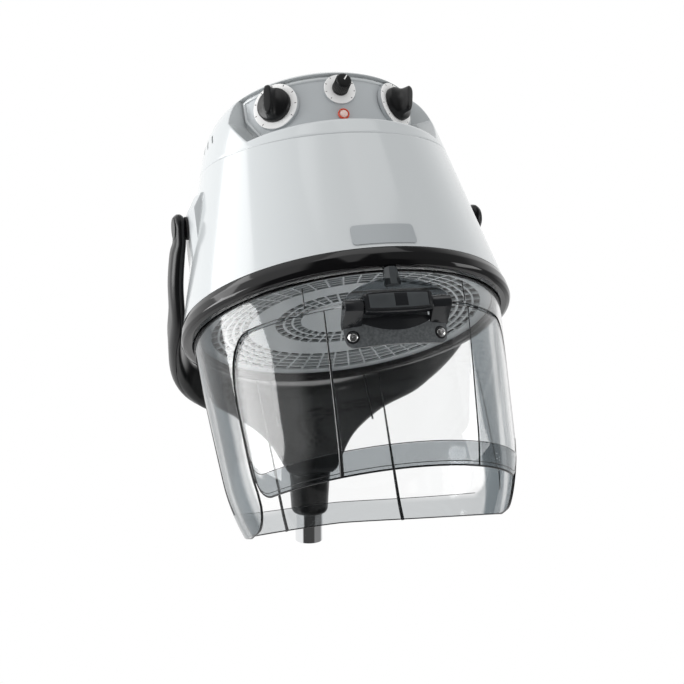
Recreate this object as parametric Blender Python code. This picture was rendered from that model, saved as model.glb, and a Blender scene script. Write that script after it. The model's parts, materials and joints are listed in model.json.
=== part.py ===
"""Salon hood dryer head: a tilting hood with a clear visor, carried by a black fork on a chrome pole end.

Metres, +Z up, +X to the right of someone facing the hood, -Y to the front. The origin is the centre
of the pole's lower end face. The hood's own pieces are modelled level, with the rim plane at z = 0,
and hang from an empty on the tilt axis that leans them back.
"""
import math

import bmesh
import bpy
from mathutils import Matrix, Vector

# Clearance between pieces that touch, and the gap along a visible seam
FIT = 0.0003
SEAM = 0.0005

# Pole and sleeve
POLE_RADIUS = 0.0175
POLE_WALL = 0.002
POLE_LENGTH = 0.165
NECK_OVERLAP = 0.072
NECK_BOTTOM = POLE_LENGTH - NECK_OVERLAP
PLUG_DEPTH = 0.018
BUSH_HEIGHT = 0.006
BUSH_SPIGOT = 0.014
SLEEVE_LENGTH = 0.055
SLEEVE_BOTTOM = NECK_BOTTOM - SLEEVE_LENGTH
SLEEVE_WALL_LOW = 0.006
SLEEVE_WALL_TOP = 0.009
CLAMP_SCREW_RADIUS = 0.003
CLAMP_HEAD_RADIUS = 0.006
CLAMP_HEAD_HEIGHT = 0.008

# Hood size, which the pieces that it carries and the fork round it follow
SHELL_BASE_RADIUS = 0.181

# Fork: a neck on the pole and two arms that sweep round the back of the hood up to the tilt axis
PIVOT_SETBACK = 0.0748
PIVOT_FORWARD = SHELL_BASE_RADIUS - PIVOT_SETBACK
PIVOT_ABOVE_RIM = 0.126
SWING_CLEARANCE = 0.0219
PIVOT_HEIGHT = NECK_BOTTOM + PIVOT_ABOVE_RIM + SHELL_BASE_RADIUS + SWING_CLEARANCE
NECK_HEIGHT = 0.115
NECK_HALF_WIDTH = 0.024
NECK_DEPTH = 0.054
ARM_DEPTH = 0.0325
ARM_THICKNESS = 0.0135
FORK_EDGE = 0.008
FORK_SCREW_SPREAD = 0.027
FORK_SCREW_RADIUS = 0.0018
FORK_SCREW_RISE = 0.064
FORK_SCREW_SINK = 0.0097
FORK_SCREW_LENGTH = 0.028
GLAND_BORE = 0.0032
GLAND_RADIUS = 0.006
GLAND_RISE = 0.045

# Tilt pivots
POD_INSET = 0.015
POD_FACE = SHELL_BASE_RADIUS - POD_INSET
POD_HALF_WIDTH = 0.028
POD_FOOT = 0.062
POD_RISE = 0.030
POD_DEPTH = 0.016
POD_ROOT = POD_FACE - POD_DEPTH
WASHER_THICKNESS = 0.0019
WASHER_RADIUS = 0.013
BOLT_RADIUS = 0.005
BOLT_HEAD_RADIUS = 0.0085
BOLT_HEAD_HEIGHT = 0.0022
CAP_RADIUS = 0.0125
CAP_HEIGHT = 0.0024

# Hood: rim plane at z = 0, tilt axis above it, leaning back at rest
HOOD_TILT = math.radians(32.0)
SHELL_TAPER = 0.2155
SHELL_WALL = 0.0035
CROWN_START = 0.170
CROWN_TOP = 0.272
CROWN_POWER = 4.7
SEAM_FRONT = 0.162
SEAM_RISE = 0.060

# Rim ring, grille and the groove that holds the visor collar
RIM_PROUD = 0.004
RIM_RADIUS = SHELL_BASE_RADIUS + RIM_PROUD
RIM_TOP = 0.0159
RIM_DROP = 0.006
LEDGE_THICKNESS = 0.0055
LEDGE_Z = 0.003
VISOR_INSET = 0.009
VISOR_RADIUS = SHELL_BASE_RADIUS - VISOR_INSET
GRILLE_INSET = 0.0085
GRILLE_RADIUS = VISOR_RADIUS - GRILLE_INSET
GRILLE_FLANGE = 0.0065
GRILLE_RISE = 0.012
GRILLE_THICKNESS = 0.0025
GRILLE_SPOKES = 16
GRILLE_ROWS = 4
GRILLE_SLOT_SHARE = 0.68
GRILLE_BORDER = 0.0047
GRILLE_FIELD = 0.0644
GRILLE_HUB = 0.022
GRILLE_HUB_SLOT = 0.0125
GRILLE_HUB_RIM = 0.0157
GRILLE_SCREW_RADIUS = 0.0012

# Visor: a clear skirt, open in front where the flap hangs
VISOR_TAPER = 0.09
VISOR_LEAN = 0.03
VISOR_CURL = 0.012
VISOR_CURL_SPAN = 0.065
VISOR_STRAIGHT = 0.008
VISOR_WALL = 0.003
VISOR_GROOVE_DEPTH = 0.010
GROOVE_ROOM = 0.0008
COLLAR_DEPTH = 0.036
FLAP_HALF_ANGLE = math.radians(65.3)
FLAP_SIDE_GAP = math.radians(1.4)
FLAP_TOP_GAP = 0.003
FLAP_BOTTOM = 0.205
FLAP_CORNER_WIDTH = 0.042
FLAP_CORNER_DROP = 0.068
VISOR_CORNER = 0.035
VISOR_CORNER_SPAN = math.radians(14.0)
VISOR_REAR_BOTTOM = 0.192
VISOR_SIDE_BOTTOM = 0.230

# Flap hinge
HINGE_STANDOFF = 0.0095
HINGE_FORWARD = VISOR_RADIUS + HINGE_STANDOFF
HINGE_DROP = 0.047
HINGE_PIN_RADIUS = 0.0022
BARREL_RADIUS = 0.010
BARREL_HALF_LENGTH = 0.032
KNUCKLE_RADIUS = 0.0065
KNUCKLE_LENGTH = 0.022
ARCH_HEIGHT = 0.027
ARCH_OVERHANG = 0.018
ARCH_HALF_WIDTH = BARREL_HALF_LENGTH + ARCH_OVERHANG
ARCH_THICKNESS = 0.004
STEM_HALF_WIDTH = 0.0065
HINGE_PLATE_OVERHANG = 0.021
HINGE_PLATE_HALF_WIDTH = BARREL_HALF_LENGTH + HINGE_PLATE_OVERHANG
HINGE_PLATE_TOP = 0.061
HINGE_PLATE_BOTTOM = 0.084
HINGE_PLATE_THICKNESS = 0.004
HINGE_SCREW_INSET = 0.0085
HINGE_SCREW_SPREAD = HINGE_PLATE_HALF_WIDTH - HINGE_SCREW_INSET
HINGE_SCREW_RADIUS = 0.002
HINGE_SCREW_HEAD = 0.0052

# Control recess in the crown, fascia, dials, knobs and lamp
PANEL_INSET = 0.071
PANEL_RADIUS = SHELL_BASE_RADIUS - PANEL_INSET
PANEL_BOTTOM = 0.181
PANEL_TOP = 0.254
PANEL_HALF_ANGLE = math.radians(61.0)
PANEL_CHAMFER_ANGLE = math.radians(13.0)
PANEL_CHAMFER_RISE = 0.040
FASCIA_THICKNESS = 0.002
FASCIA_MARGIN = 0.003
KNOB_ANGLE = math.radians(37.0)
KNOB_Z = 0.2265
TIMER_Z = 0.2345
LAMP_Z = 0.204
DIAL_RADIUS = 0.0265
TIMER_DIAL_RADIUS = 0.0178
DIAL_THICKNESS = 0.0012
PAD_RISE = 0.0042
KNOB_RADIUS = 0.0195
KNOB_SKIRT = 0.007
KNOB_HEIGHT = 0.020
KNOB_GRIP_WIDTH = 0.012
TIMER_KNOB_RADIUS = 0.0095
TIMER_KNOB_HEIGHT = 0.019
SPINDLE_RADIUS = 0.003
CONTROL_RADIUS = 0.015
CONTROL_DEPTH = 0.022
LAMP_RADIUS = 0.0065
LAMP_LENS_RADIUS = 0.0046
BADGE_HALF_WIDTH = 0.034
BADGE_BOTTOM = 0.020
BADGE_TOP = 0.043
BADGE_THICKNESS = 0.001
VENT_COUNT = 5
VENT_WIDTH = 0.003
VENT_LENGTH = 0.014
VENT_OFFSET = math.radians(14.0)
VENT_PITCH = math.radians(6.0)
VENT_SLANT = math.radians(25.0)

# Air guide, motor, fan and heater inside the hood
GUIDE_INSET = 0.0155
GUIDE_RADIUS = GRILLE_RADIUS - GUIDE_INSET
GUIDE_WALL = 0.002
GUIDE_FLANGE = 0.0025
GUIDE_SHOULDER = 0.128
GUIDE_TOP = 0.150
GUIDE_SLOPE_WIDTH = 0.048
GUIDE_TOP_RADIUS = GUIDE_RADIUS - GUIDE_SLOPE_WIDTH
INLET_RADIUS = 0.045
BRACKET_RADIUS = 0.058
BRACKET_HEIGHT = 0.022
BRACKET_WALL = 0.002
MOTOR_RADIUS = 0.032
MOTOR_HEIGHT = 0.058
SHAFT_RADIUS = 0.004
FAN_RADIUS = 0.078
FAN_EYE = 0.050
FAN_BOTTOM = 0.098
FAN_HEIGHT = 0.036
FAN_BLADES = 12
HEATER_Z = 0.050
HEATER_WIDTH = 0.052
HEATER_HOLE = GUIDE_RADIUS - HEATER_WIDTH
HEATER_PLATE = 0.002
COIL_INSET = 0.029
COIL_RADIUS = GUIDE_RADIUS - COIL_INSET
COIL_TUBE = 0.006
CUTOUT_RADIUS = 0.007
CUTOUT_HEIGHT = 0.010

# Facets of round pieces
HOOD_STEPS = 44
AIR_STEPS = 28
FINE_STEPS = 20
COARSE_STEPS = 12


for leftover in list(bpy.data.objects):
    bpy.data.objects.remove(leftover, do_unlink=True)


# Building blocks

def empty(name, location, parent=None, turn=None):
    """An unseen axis or frame that pieces hang from."""
    node = bpy.data.objects.new(name, None)
    bpy.context.collection.objects.link(node)
    node.parent = parent
    frame = Matrix.Translation(Vector(location))
    node.matrix_local = frame @ turn.to_4x4() if turn else frame
    return node


def piece(name, mesh, parent, colour, roughness=0.4, metallic=0.0, alpha=1.0, smooth=40.0):
    """Turn a bmesh into a named object with its own finish."""
    bmesh.ops.remove_doubles(mesh, verts=mesh.verts, dist=1e-6)
    bmesh.ops.recalc_face_normals(mesh, faces=mesh.faces)
    data = bpy.data.meshes.new(name)
    mesh.to_mesh(data)
    mesh.free()
    data.shade_smooth()
    data.set_sharp_from_angle(angle=math.radians(smooth))
    node = bpy.data.objects.new(name, data)
    bpy.context.collection.objects.link(node)
    node.parent = parent
    finish = bpy.data.materials.new(name + "_finish")
    finish.use_nodes = True
    shader = finish.node_tree.nodes["Principled BSDF"]
    shader.inputs["Base Color"].default_value = (*colour, 1.0)
    shader.inputs["Roughness"].default_value = roughness
    shader.inputs["Metallic"].default_value = metallic
    shader.inputs["Alpha"].default_value = alpha
    data.materials.append(finish)
    return node


def tool(name, mesh, parent):
    """A cutter or a block to be joined, which is not a piece by itself."""
    node = piece(name, mesh, parent, (1.0, 0.2, 0.2))
    node.hide_render = True
    node.display_type = "WIRE"
    return node


def combine(target, other, operation):
    """Cut a tool out of a piece, or join it on."""
    step = target.modifiers.new(operation.lower() + "_" + other.name, "BOOLEAN")
    step.object = other
    step.operation = operation
    step.solver = "EXACT"


def turned(profile, steps=FINE_STEPS, axis="Z", centre=(0.0, 0.0, 0.0)):
    """Revolve a closed outline of (radius, along) points about an axis through centre."""
    mesh = bmesh.new()
    rings = []
    for radius, along in profile:
        ring = []
        for k in range(steps if radius > 1e-7 else 1):
            turn = 2.0 * math.pi * k / steps
            across = (radius * math.cos(turn), radius * math.sin(turn))
            place = {"X": (along, *across), "Y": (across[1], along, across[0]), "Z": (*across, along)}[axis]
            ring.append(mesh.verts.new(Vector(place) + Vector(centre)))
        rings.append(ring)
    for low, high in zip(rings, rings[1:] + rings[:1]):
        if len(low) == 1 and len(high) == 1:
            continue
        for k in range(steps):
            n = (k + 1) % steps
            corners = [low[k % len(low)], low[n % len(low)], high[n % len(high)], high[k % len(high)]]
            mesh.faces.new(list(dict.fromkeys(corners)))
    return mesh


def rod(radius, low, high, axis="Z", centre=(0.0, 0.0, 0.0), steps=COARSE_STEPS):
    """A plain round bar."""
    return turned([(0.0, low), (radius, low), (radius, high), (0.0, high)], steps, axis, centre)


def block(low, high):
    """A box between two corners."""
    mesh = bmesh.new()
    bmesh.ops.create_cube(mesh, size=1.0)
    low = Vector(low)
    size = Vector(high) - low
    for vert in mesh.verts:
        vert.co = Vector(low[k] + (vert.co[k] + 0.5) * size[k] for k in range(3))
    return mesh


def lofted(sections):
    """Skin a row of closed outlines that have equal numbers of points, with flat ends."""
    mesh = bmesh.new()
    loops = [[mesh.verts.new(point) for point in section] for section in sections]
    for one, two in zip(loops, loops[1:]):
        for k in range(len(one)):
            n = (k + 1) % len(one)
            mesh.faces.new((one[k], one[n], two[n], two[k]))
    mesh.faces.new(loops[0])
    mesh.faces.new(loops[-1])
    return mesh


def thick_patch(outer, inner, wrap=False, skip=lambda row, column: False, hub=False):
    """A wall between two grids of points, with cells left out where skip says so."""
    mesh = bmesh.new()
    sides = [[[mesh.verts.new(p) for p in row] for row in grid] for grid in (outer, inner)]
    columns = len(outer[0])
    edges = {}

    def edge(a, b):
        edges[frozenset((a, b))] = edges.get(frozenset((a, b)), 0) + 1

    for r in range(len(outer) - 1):
        for c in range(columns if wrap else columns - 1):
            if skip(r, c):
                continue
            n = (c + 1) % columns
            cell = [(r, c), (r, n), (r + 1, n), (r + 1, c)]
            for side in sides:
                mesh.faces.new([side[i][j] for i, j in cell])
            for a, b in zip(cell, cell[1:] + cell[:1]):
                edge(a, b)
    if hub:
        for side in sides:
            mesh.faces.new(side[0])
        for c in range(columns):
            edge((0, c), (0, (c + 1) % columns))
    for pair, uses in edges.items():
        if uses == 1:
            (i, j), (k, m) = sorted(pair)
            mesh.faces.new((sides[0][i][j], sides[0][k][m], sides[1][k][m], sides[1][i][j]))
    return mesh


def spread(low, high, count):
    """Evenly spaced values from low to high."""
    return [low + (high - low) * k / (count - 1) for k in range(count)]


def polar(radius, angle, z):
    """A point of the hood by its distance from the axis, its angle from the front, and its height."""
    return Vector((radius * math.sin(angle), -radius * math.cos(angle), z))


# Pole, sleeve and swivel

CHROME = (0.80, 0.81, 0.82)
BLACK = (0.012, 0.012, 0.014)
SILVER = (0.60, 0.62, 0.63)
CLEAR = (0.82, 0.85, 0.86)
SMOKE = (0.05, 0.055, 0.06)
STEEL = (0.60, 0.60, 0.60)

swivel_axis = empty("swivel_axis", (0.0, 0.0, 0.0))
POLE_BORE = POLE_RADIUS - POLE_WALL
SLEEVE_TOP = NECK_BOTTOM - FIT
SLEEVE_BORE = POLE_RADIUS + FIT


def make_pole():
    piece("pole_tube", turned([(POLE_RADIUS, 0.0), (POLE_RADIUS, POLE_LENGTH),
                               (POLE_BORE, POLE_LENGTH), (POLE_BORE, 0.0)]), None, CHROME, 0.08, 1.0)
    piece("pole_end_plug", rod(POLE_BORE - FIT, 0.0, PLUG_DEPTH, steps=FINE_STEPS), None, BLACK, 0.5)
    seat = POLE_LENGTH + FIT
    spigot = POLE_BORE - FIT
    piece("swivel_bush", turned([(0.0, seat - BUSH_SPIGOT), (spigot, seat - BUSH_SPIGOT), (spigot, seat),
                                 (POLE_RADIUS, seat), (POLE_RADIUS, seat + BUSH_HEIGHT),
                                 (0.0, seat + BUSH_HEIGHT)]), None, (0.75, 0.73, 0.68), 0.5)
    low = SLEEVE_BORE + SLEEVE_WALL_LOW
    top = SLEEVE_BORE + SLEEVE_WALL_TOP
    sleeve = piece("pole_sleeve", turned([(low, SLEEVE_BOTTOM), (top, SLEEVE_TOP), (SLEEVE_BORE, SLEEVE_TOP),
                                          (SLEEVE_BORE, SLEEVE_BOTTOM)]), swivel_axis, BLACK, 0.35)
    height = (SLEEVE_BOTTOM + SLEEVE_TOP) / 2.0
    face = (low + top) / 2.0
    hole = tool("clamp_hole", rod(CLAMP_SCREW_RADIUS + FIT, 0.0, 2.0 * top, "Y", (0.0, 0.0, height)),
                swivel_axis)
    combine(sleeve, hole, "DIFFERENCE")
    head = face + FIT + SLEEVE_WALL_TOP - SLEEVE_WALL_LOW
    piece("sleeve_clamp_screw",
          turned([(0.0, SLEEVE_BORE), (CLAMP_SCREW_RADIUS, SLEEVE_BORE), (CLAMP_SCREW_RADIUS, head),
                  (CLAMP_HEAD_RADIUS, head), (CLAMP_HEAD_RADIUS, head + CLAMP_HEAD_HEIGHT),
                  (0.0, head + CLAMP_HEAD_HEIGHT)], COARSE_STEPS, "Y", (0.0, 0.0, height)),
          swivel_axis, BLACK, 0.4)


# Fork

ARM_X = POD_FACE + WASHER_THICKNESS + 2.0 * FIT + ARM_THICKNESS / 2.0
ARM_TIP = ARM_DEPTH / 2.0

# Lower and upper edge of the sweep between neck and arm, as shares of the way out, forward and up
SWEEP = (
    ((0.205, -0.04, 0.040), (0.262, -0.03, 0.354), 0.038),
    ((0.331, -0.075, 0.133), (0.434, -0.03, 0.370), 0.032),
    ((0.559, -0.047, 0.228), (0.639, 0.03, 0.407), 0.028),
    ((0.822, 0.085, 0.304), (0.850, 0.17, 0.466), 0.024),
    ((0.960, 0.34, 0.404), (0.955, 0.36, 0.544), 0.019),
    ((1.020, 0.79, 0.543), (1.012, 0.585, 0.648), 0.0165),
    ((1.014, 1.09, 0.666), (1.030, 0.80, 0.739), 0.016),
    ((1.026, 1.0, 0.806), (1.034, 1.0, 0.818), 0.016),
    ((1.012, 1.0, 0.905), (1.018, 1.0, 0.910), 0.0155),
)


def fork_stations():
    """Edge points and thickness of the right half of the fork, from its middle to the arm's tip."""
    rise = PIVOT_HEIGHT - NECK_BOTTOM
    top = NECK_BOTTOM + NECK_HEIGHT
    stations = [
        (Vector((0.0, 0.0, NECK_BOTTOM)), Vector((0.0, 0.0, top)), NECK_DEPTH),
        (Vector((NECK_HALF_WIDTH, 0.0, NECK_BOTTOM)), Vector((NECK_HALF_WIDTH, 0.0, top + SEAM)),
         NECK_DEPTH * 0.85),
    ]
    for k, (lower, upper, thick) in enumerate(SWEEP):
        edges = []
        for (out, ahead, up), side in ((lower, -1.0), (upper, 1.0)):
            point = Vector((out * ARM_X, -ahead * PIVOT_FORWARD, NECK_BOTTOM + up * rise))
            if k >= len(SWEEP) - 2:
                point.y += side * ARM_DEPTH / 2.0
            edges.append(point)
        stations.append((*edges, thick))
    for lift, half, share in [(-ARM_TIP, ARM_TIP, 1.0)] + [
            (ARM_TIP * math.sin(t), ARM_TIP * math.cos(t), math.cos(t * t * 0.75))
            for t in spread(0.0, math.radians(72.0), 4)]:
        y = -PIVOT_FORWARD
        z = PIVOT_HEIGHT + lift
        stations.append((Vector((ARM_X, y - half, z)), Vector((ARM_X, y + half, z)), ARM_THICKNESS * share))
    return stations


def smooth_through(values, parts):
    """Points of a smooth curve through the given values, with extra ones between them."""
    result = []
    for k in range(len(values) - 1):
        before = values[max(k - 1, 0)]
        here = values[k]
        there = values[k + 1]
        after = values[min(k + 2, len(values) - 1)]
        for step in range(parts):
            t = step / parts
            result.append(0.5 * (2.0 * here + (there - before) * t
                                 + (2.0 * before - 5.0 * here + 4.0 * there - after) * t * t
                                 + (3.0 * here - before - 3.0 * there + after) * t * t * t))
    return result + [values[-1]]


def half_section(lower, upper, thick, ahead, side):
    """One half of the fork's section: flat on the parting face, round at its outer corners."""
    width = (upper - lower).length
    across = (upper - lower).normalized()
    out = across.cross(ahead).normalized() * side
    middle = (lower + upper) / 2.0
    face = thick / 2.0
    half = width / 2.0
    deep = min(FORK_EDGE, face * 0.96)
    long = min(FORK_EDGE * 1.6, half * 0.8)
    outline = [(-half, SEAM / 2.0)]
    for turn in spread(0.0, math.pi / 2.0, 3):
        outline.append((-half + long - long * math.cos(turn), face - deep + deep * math.sin(turn)))
    for turn in spread(math.pi / 2.0, 0.0, 3):
        outline.append((half - long + long * math.cos(turn), face - deep + deep * math.sin(turn)))
    outline.append((half, SEAM / 2.0))
    return [middle + across * a + out * b for a, b in outline]


def fork_half(side):
    """Sections of one half shell from the left arm's tip round the neck to the right arm's tip."""
    stations = fork_stations()
    lower = smooth_through([s[0] for s in stations], 2)
    for point in lower:
        point.z = max(point.z, NECK_BOTTOM)
    upper = smooth_through([s[1] for s in stations], 2)
    thick = smooth_through([s[2] for s in stations], 2)
    middle = [(a + b) / 2.0 for a, b in zip(lower, upper)]
    right = []
    for k in range(len(middle)):
        ahead = middle[min(k + 1, len(middle) - 1)] - middle[max(k - 1, 0)]
        if k == 0:
            ahead = Vector((1.0, 0.0, 0.0))
        right.append(half_section(lower[k], upper[k], thick[k], ahead, side))
    left = [[Vector((-p.x, p.y, p.z)) for p in section] for section in right[:0:-1]]
    return lofted(left + right)


def make_fork():
    outer = piece("fork_outer_shell", fork_half(1.0), swivel_axis, BLACK, 0.3)
    inner = piece("fork_inner_shell", fork_half(-1.0), swivel_axis, BLACK, 0.3)
    bush_top = POLE_LENGTH + BUSH_HEIGHT + 2.0 * FIT
    bore = tool("pole_bore", rod(SLEEVE_BORE, 0.0, bush_top, steps=FINE_STEPS), swivel_axis)
    for shell in (outer, inner):
        combine(shell, bore, "DIFFERENCE")
    make_gland(outer)
    for side, hand in ((-1.0, "left"), (1.0, "right")):
        make_fork_screw(outer, inner, side, hand)
        make_pivot(outer, inner, side, hand)


def make_gland(outer):
    height = NECK_BOTTOM + GLAND_RISE
    back = NECK_DEPTH / 2.0
    hole = tool("gland_hole", rod(GLAND_RADIUS + FIT, 0.0, NECK_DEPTH, "Y", (0.0, 0.0, height)), swivel_axis)
    combine(outer, hole, "DIFFERENCE")
    flange = GLAND_RADIUS * 1.6
    seat = back + FIT
    piece("cable_gland",
          turned([(GLAND_BORE, SLEEVE_BORE + FIT), (GLAND_RADIUS, SLEEVE_BORE + FIT), (GLAND_RADIUS, seat),
                  (flange, seat), (flange, seat + GLAND_RADIUS * 0.7),
                  (GLAND_RADIUS * 1.1, seat + GLAND_RADIUS),
                  (GLAND_RADIUS * 0.9, seat + GLAND_RADIUS * 2.4), (GLAND_BORE, seat + GLAND_RADIUS * 2.4)],
                 COARSE_STEPS, "Y", (0.0, 0.0, height)), swivel_axis, BLACK, 0.5)


def make_fork_screw(outer, inner, side, hand):
    height = NECK_BOTTOM + FORK_SCREW_RISE
    centre = (side * FORK_SCREW_SPREAD, 0.0, height)
    head = FORK_SCREW_RADIUS * 2.2
    seat = NECK_DEPTH / 2.0 - FORK_SCREW_SINK
    tip = seat - FORK_SCREW_LENGTH
    outline = [(0.0, tip), (FORK_SCREW_RADIUS, tip), (FORK_SCREW_RADIUS, seat), (head, seat)]
    room = [(r + FIT if r else r, a - FIT) for r, a in outline]
    hole = tool("fork_screw_hole_" + hand, turned(room + [(head + FIT, NECK_DEPTH), (0.0, NECK_DEPTH)],
                                                  COARSE_STEPS, "Y", centre), swivel_axis)
    combine(outer, hole, "DIFFERENCE")
    combine(inner, hole, "DIFFERENCE")
    top = seat + FORK_SCREW_RADIUS * 1.4
    piece("fork_screw_" + hand, turned(outline + [(head, top), (0.0, top)], COARSE_STEPS, "Y", centre),
          swivel_axis, STEEL, 0.3, 1.0)


def make_pivot(outer, inner, side, hand):
    """Bolt, friction washer and cap of one tilt pivot, and their holes in the arm."""
    centre = (0.0, -PIVOT_FORWARD, PIVOT_HEIGHT)
    face = ARM_X + ARM_THICKNESS / 2.0
    cap = face - CAP_HEIGHT
    head = cap - FIT - BOLT_HEAD_HEIGHT
    tip = POD_ROOT + POD_HALF_WIDTH * 0.1

    def about_axis(outline):
        return turned([(r, side * a) for r, a in outline], FINE_STEPS, "X", centre)

    hole = tool("pivot_hole_" + hand, about_axis(
        [(0.0, POD_ROOT), (BOLT_RADIUS + FIT, POD_ROOT), (BOLT_RADIUS + FIT, head - FIT),
         (CAP_RADIUS + FIT, head - FIT), (CAP_RADIUS + FIT, face + ARM_THICKNESS),
         (0.0, face + ARM_THICKNESS)]), swivel_axis)
    combine(outer, hole, "DIFFERENCE")
    combine(inner, hole, "DIFFERENCE")
    piece("pivot_bolt_" + hand, about_axis(
        [(0.0, tip), (BOLT_RADIUS, tip), (BOLT_RADIUS, head), (BOLT_HEAD_RADIUS, head),
         (BOLT_HEAD_RADIUS, head + BOLT_HEAD_HEIGHT), (0.0, head + BOLT_HEAD_HEIGHT)]),
        swivel_axis, STEEL, 0.3, 1.0)
    piece("pivot_cap_" + hand, about_axis(
        [(0.0, cap), (CAP_RADIUS, cap), (CAP_RADIUS, face), (0.0, face)]), swivel_axis, BLACK, 0.3)
    low = POD_FACE + FIT
    high = low + WASHER_THICKNESS
    piece("friction_washer_" + hand, about_axis(
        [(BOLT_RADIUS + FIT, low), (WASHER_RADIUS, low), (WASHER_RADIUS, high), (BOLT_RADIUS + FIT, high)]),
        swivel_axis, (0.1, 0.1, 0.1), 0.7)


# Hood shell and crown

tilt_axis = empty("tilt_axis", (0.0, -PIVOT_FORWARD, PIVOT_HEIGHT), swivel_axis,
                  Matrix.Rotation(-HOOD_TILT, 3, "X"))
hood = empty("hood_frame", (0.0, 0.0, -PIVOT_ABOVE_RIM), tilt_axis)
RING_ANGLES = [2.0 * math.pi * k / HOOD_STEPS for k in range(HOOD_STEPS)]
SHELL_BOTTOM = RIM_TOP + FIT


def shell_radius(z, inset=0.0):
    """Radius of the hood: a straight taper that closes in a rounded crown."""
    straight = SHELL_BASE_RADIUS - inset - SHELL_TAPER * (z - RIM_TOP)
    share = max(0.0, (z - CROWN_START) / (CROWN_TOP - inset - CROWN_START))
    return straight * max(0.0, 1.0 - share ** CROWN_POWER) ** (1.0 / CROWN_POWER)


def seam_height(angle):
    """Height of the seam between shell and crown, which climbs towards the back."""
    return SEAM_FRONT + SEAM_RISE * (1.0 - math.cos(angle)) / 2.0


def make_shell():
    rows = spread(0.0, 1.0, 4)
    grids = []
    for inset in (0.0, SHELL_WALL):
        grid = []
        for share in rows:
            ring = []
            for angle in RING_ANGLES:
                z = SHELL_BOTTOM + share * (seam_height(angle) - SEAM / 2.0 - SHELL_BOTTOM)
                ring.append(polar(shell_radius(z, inset), angle, z))
            grid.append(ring)
        grids.append(grid)
    shell = piece("hood_shell", thick_patch(*grids, wrap=True), hood, SILVER, 0.25)
    for side, hand in ((-1.0, "left"), (1.0, "right")):
        combine(shell, tool("pivot_pod_" + hand, pivot_pod(side), hood), "UNION")
        hole = rod(BOLT_RADIUS + FIT, side * POD_ROOT, side * (POD_FACE + POD_RISE), "X",
                   (0.0, 0.0, PIVOT_ABOVE_RIM), FINE_STEPS)
        combine(shell, tool("pod_hole_" + hand, hole, hood), "DIFFERENCE")


def pivot_pod(side):
    """A block at the side of the shell that carries the tilt bolt, drawn in at its top."""
    soft = POD_HALF_WIDTH * 0.2
    level = PIVOT_ABOVE_RIM + CAP_RADIUS + FIT
    sections = []
    top = PIVOT_ABOVE_RIM + POD_RISE
    half = POD_HALF_WIDTH
    for z, face in ((POD_FOOT, POD_FACE), (level, POD_FACE), (top, POD_FACE - soft * 1.7)):
        outline = [(POD_ROOT, -half), (face - soft, -half), (face, -half + soft * 2.0),
                   (face, half - soft * 2.0), (face - soft, half), (POD_ROOT, half)]
        sections.append([Vector((side * x, y, z)) for x, y in outline])
    return lofted(sections)


def dome(inset, drop):
    """The crown as a solid body, from just under the seam to the top."""
    mesh = bmesh.new()
    top = CROWN_TOP - inset
    rings = []
    shares = [math.sin(t) for t in spread(0.0, math.pi / 2.0, 8)][:-1]
    for share, ledge in [(0.0, SHELL_WALL * 2.0)] + [(share, 0.0) for share in shares]:
        ring = []
        for angle in RING_ANGLES:
            base = seam_height(angle) + SEAM / 2.0 - drop
            z = base + share * (top - base)
            ring.append(mesh.verts.new(polar(shell_radius(z, inset) - ledge, angle, z)))
        rings.append(ring)
    for low, high in zip(rings, rings[1:]):
        for k in range(HOOD_STEPS):
            n = (k + 1) % HOOD_STEPS
            mesh.faces.new((low[k], low[n], high[n], high[k]))
    for ring, z in ((rings[0], SEAM_FRONT + SEAM_RISE / 2.0 - drop), (rings[-1], top)):
        pole = mesh.verts.new((0.0, 0.0, z))
        for k in range(HOOD_STEPS):
            mesh.faces.new((ring[k], ring[(k + 1) % HOOD_STEPS], pole))
    return mesh


def panel_bottom(angle, half_angle, low):
    """Lower edge of the control recess, with its corners cut off."""
    past = abs(angle) - (half_angle - PANEL_CHAMFER_ANGLE)
    return low + PANEL_CHAMFER_RISE * max(0.0, past) / PANEL_CHAMFER_ANGLE


def sector(radius, depth, half_angle, low, high):
    """A curved slab round the hood's axis, with cut lower corners."""
    corner = half_angle - PANEL_CHAMFER_ANGLE
    angles = [-half_angle] + spread(-corner, corner, 16) + [half_angle]
    grids = []
    for r in (radius + depth, radius):
        grids.append([[polar(r, a, panel_bottom(a, half_angle, low)) for a in angles],
                      [polar(r, a, high) for a in angles]])
    return thick_patch(*grids)


def make_crown():
    crown = piece("crown_cover", dome(0.0, 0.0), hood, SILVER, 0.25)
    recess = tool("panel_recess", sector(PANEL_RADIUS, SHELL_BASE_RADIUS, PANEL_HALF_ANGLE,
                                         PANEL_BOTTOM, PANEL_TOP), hood)
    wall = SHELL_WALL
    room = tool("recess_wall", sector(PANEL_RADIUS - wall, SHELL_BASE_RADIUS,
                                      PANEL_HALF_ANGLE + wall / PANEL_RADIUS,
                                      PANEL_BOTTOM - wall, PANEL_TOP + wall), hood)
    inside = tool("crown_inside", dome(wall, wall * 3.0), hood)
    combine(inside, room, "DIFFERENCE")
    combine(crown, recess, "DIFFERENCE")
    combine(crown, inside, "DIFFERENCE")
    combine(crown, tool("vent_slots", vent_slots(), hood), "DIFFERENCE")
    return crown


def vent_slots():
    """Oblique slots through both sides of the crown that let the air in."""
    mesh = bmesh.new()
    middle = (PANEL_BOTTOM + PANEL_TOP) / 2.0
    for side in (-1.0, 1.0):
        for k in range(VENT_COUNT):
            angle = side * (PANEL_HALF_ANGLE + VENT_OFFSET + VENT_PITCH * k)
            spot = Matrix.Translation(polar(shell_radius(middle), angle, middle))
            turn = Matrix.Rotation(angle, 4, "Z") @ Matrix.Rotation(side * VENT_SLANT, 4, "Y")
            size = Matrix.Diagonal((VENT_WIDTH, SHELL_WALL * 6.0, VENT_LENGTH, 1.0))
            bmesh.ops.create_cube(mesh, size=1.0, matrix=spot @ turn @ size)
    return mesh


# Controls

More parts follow.
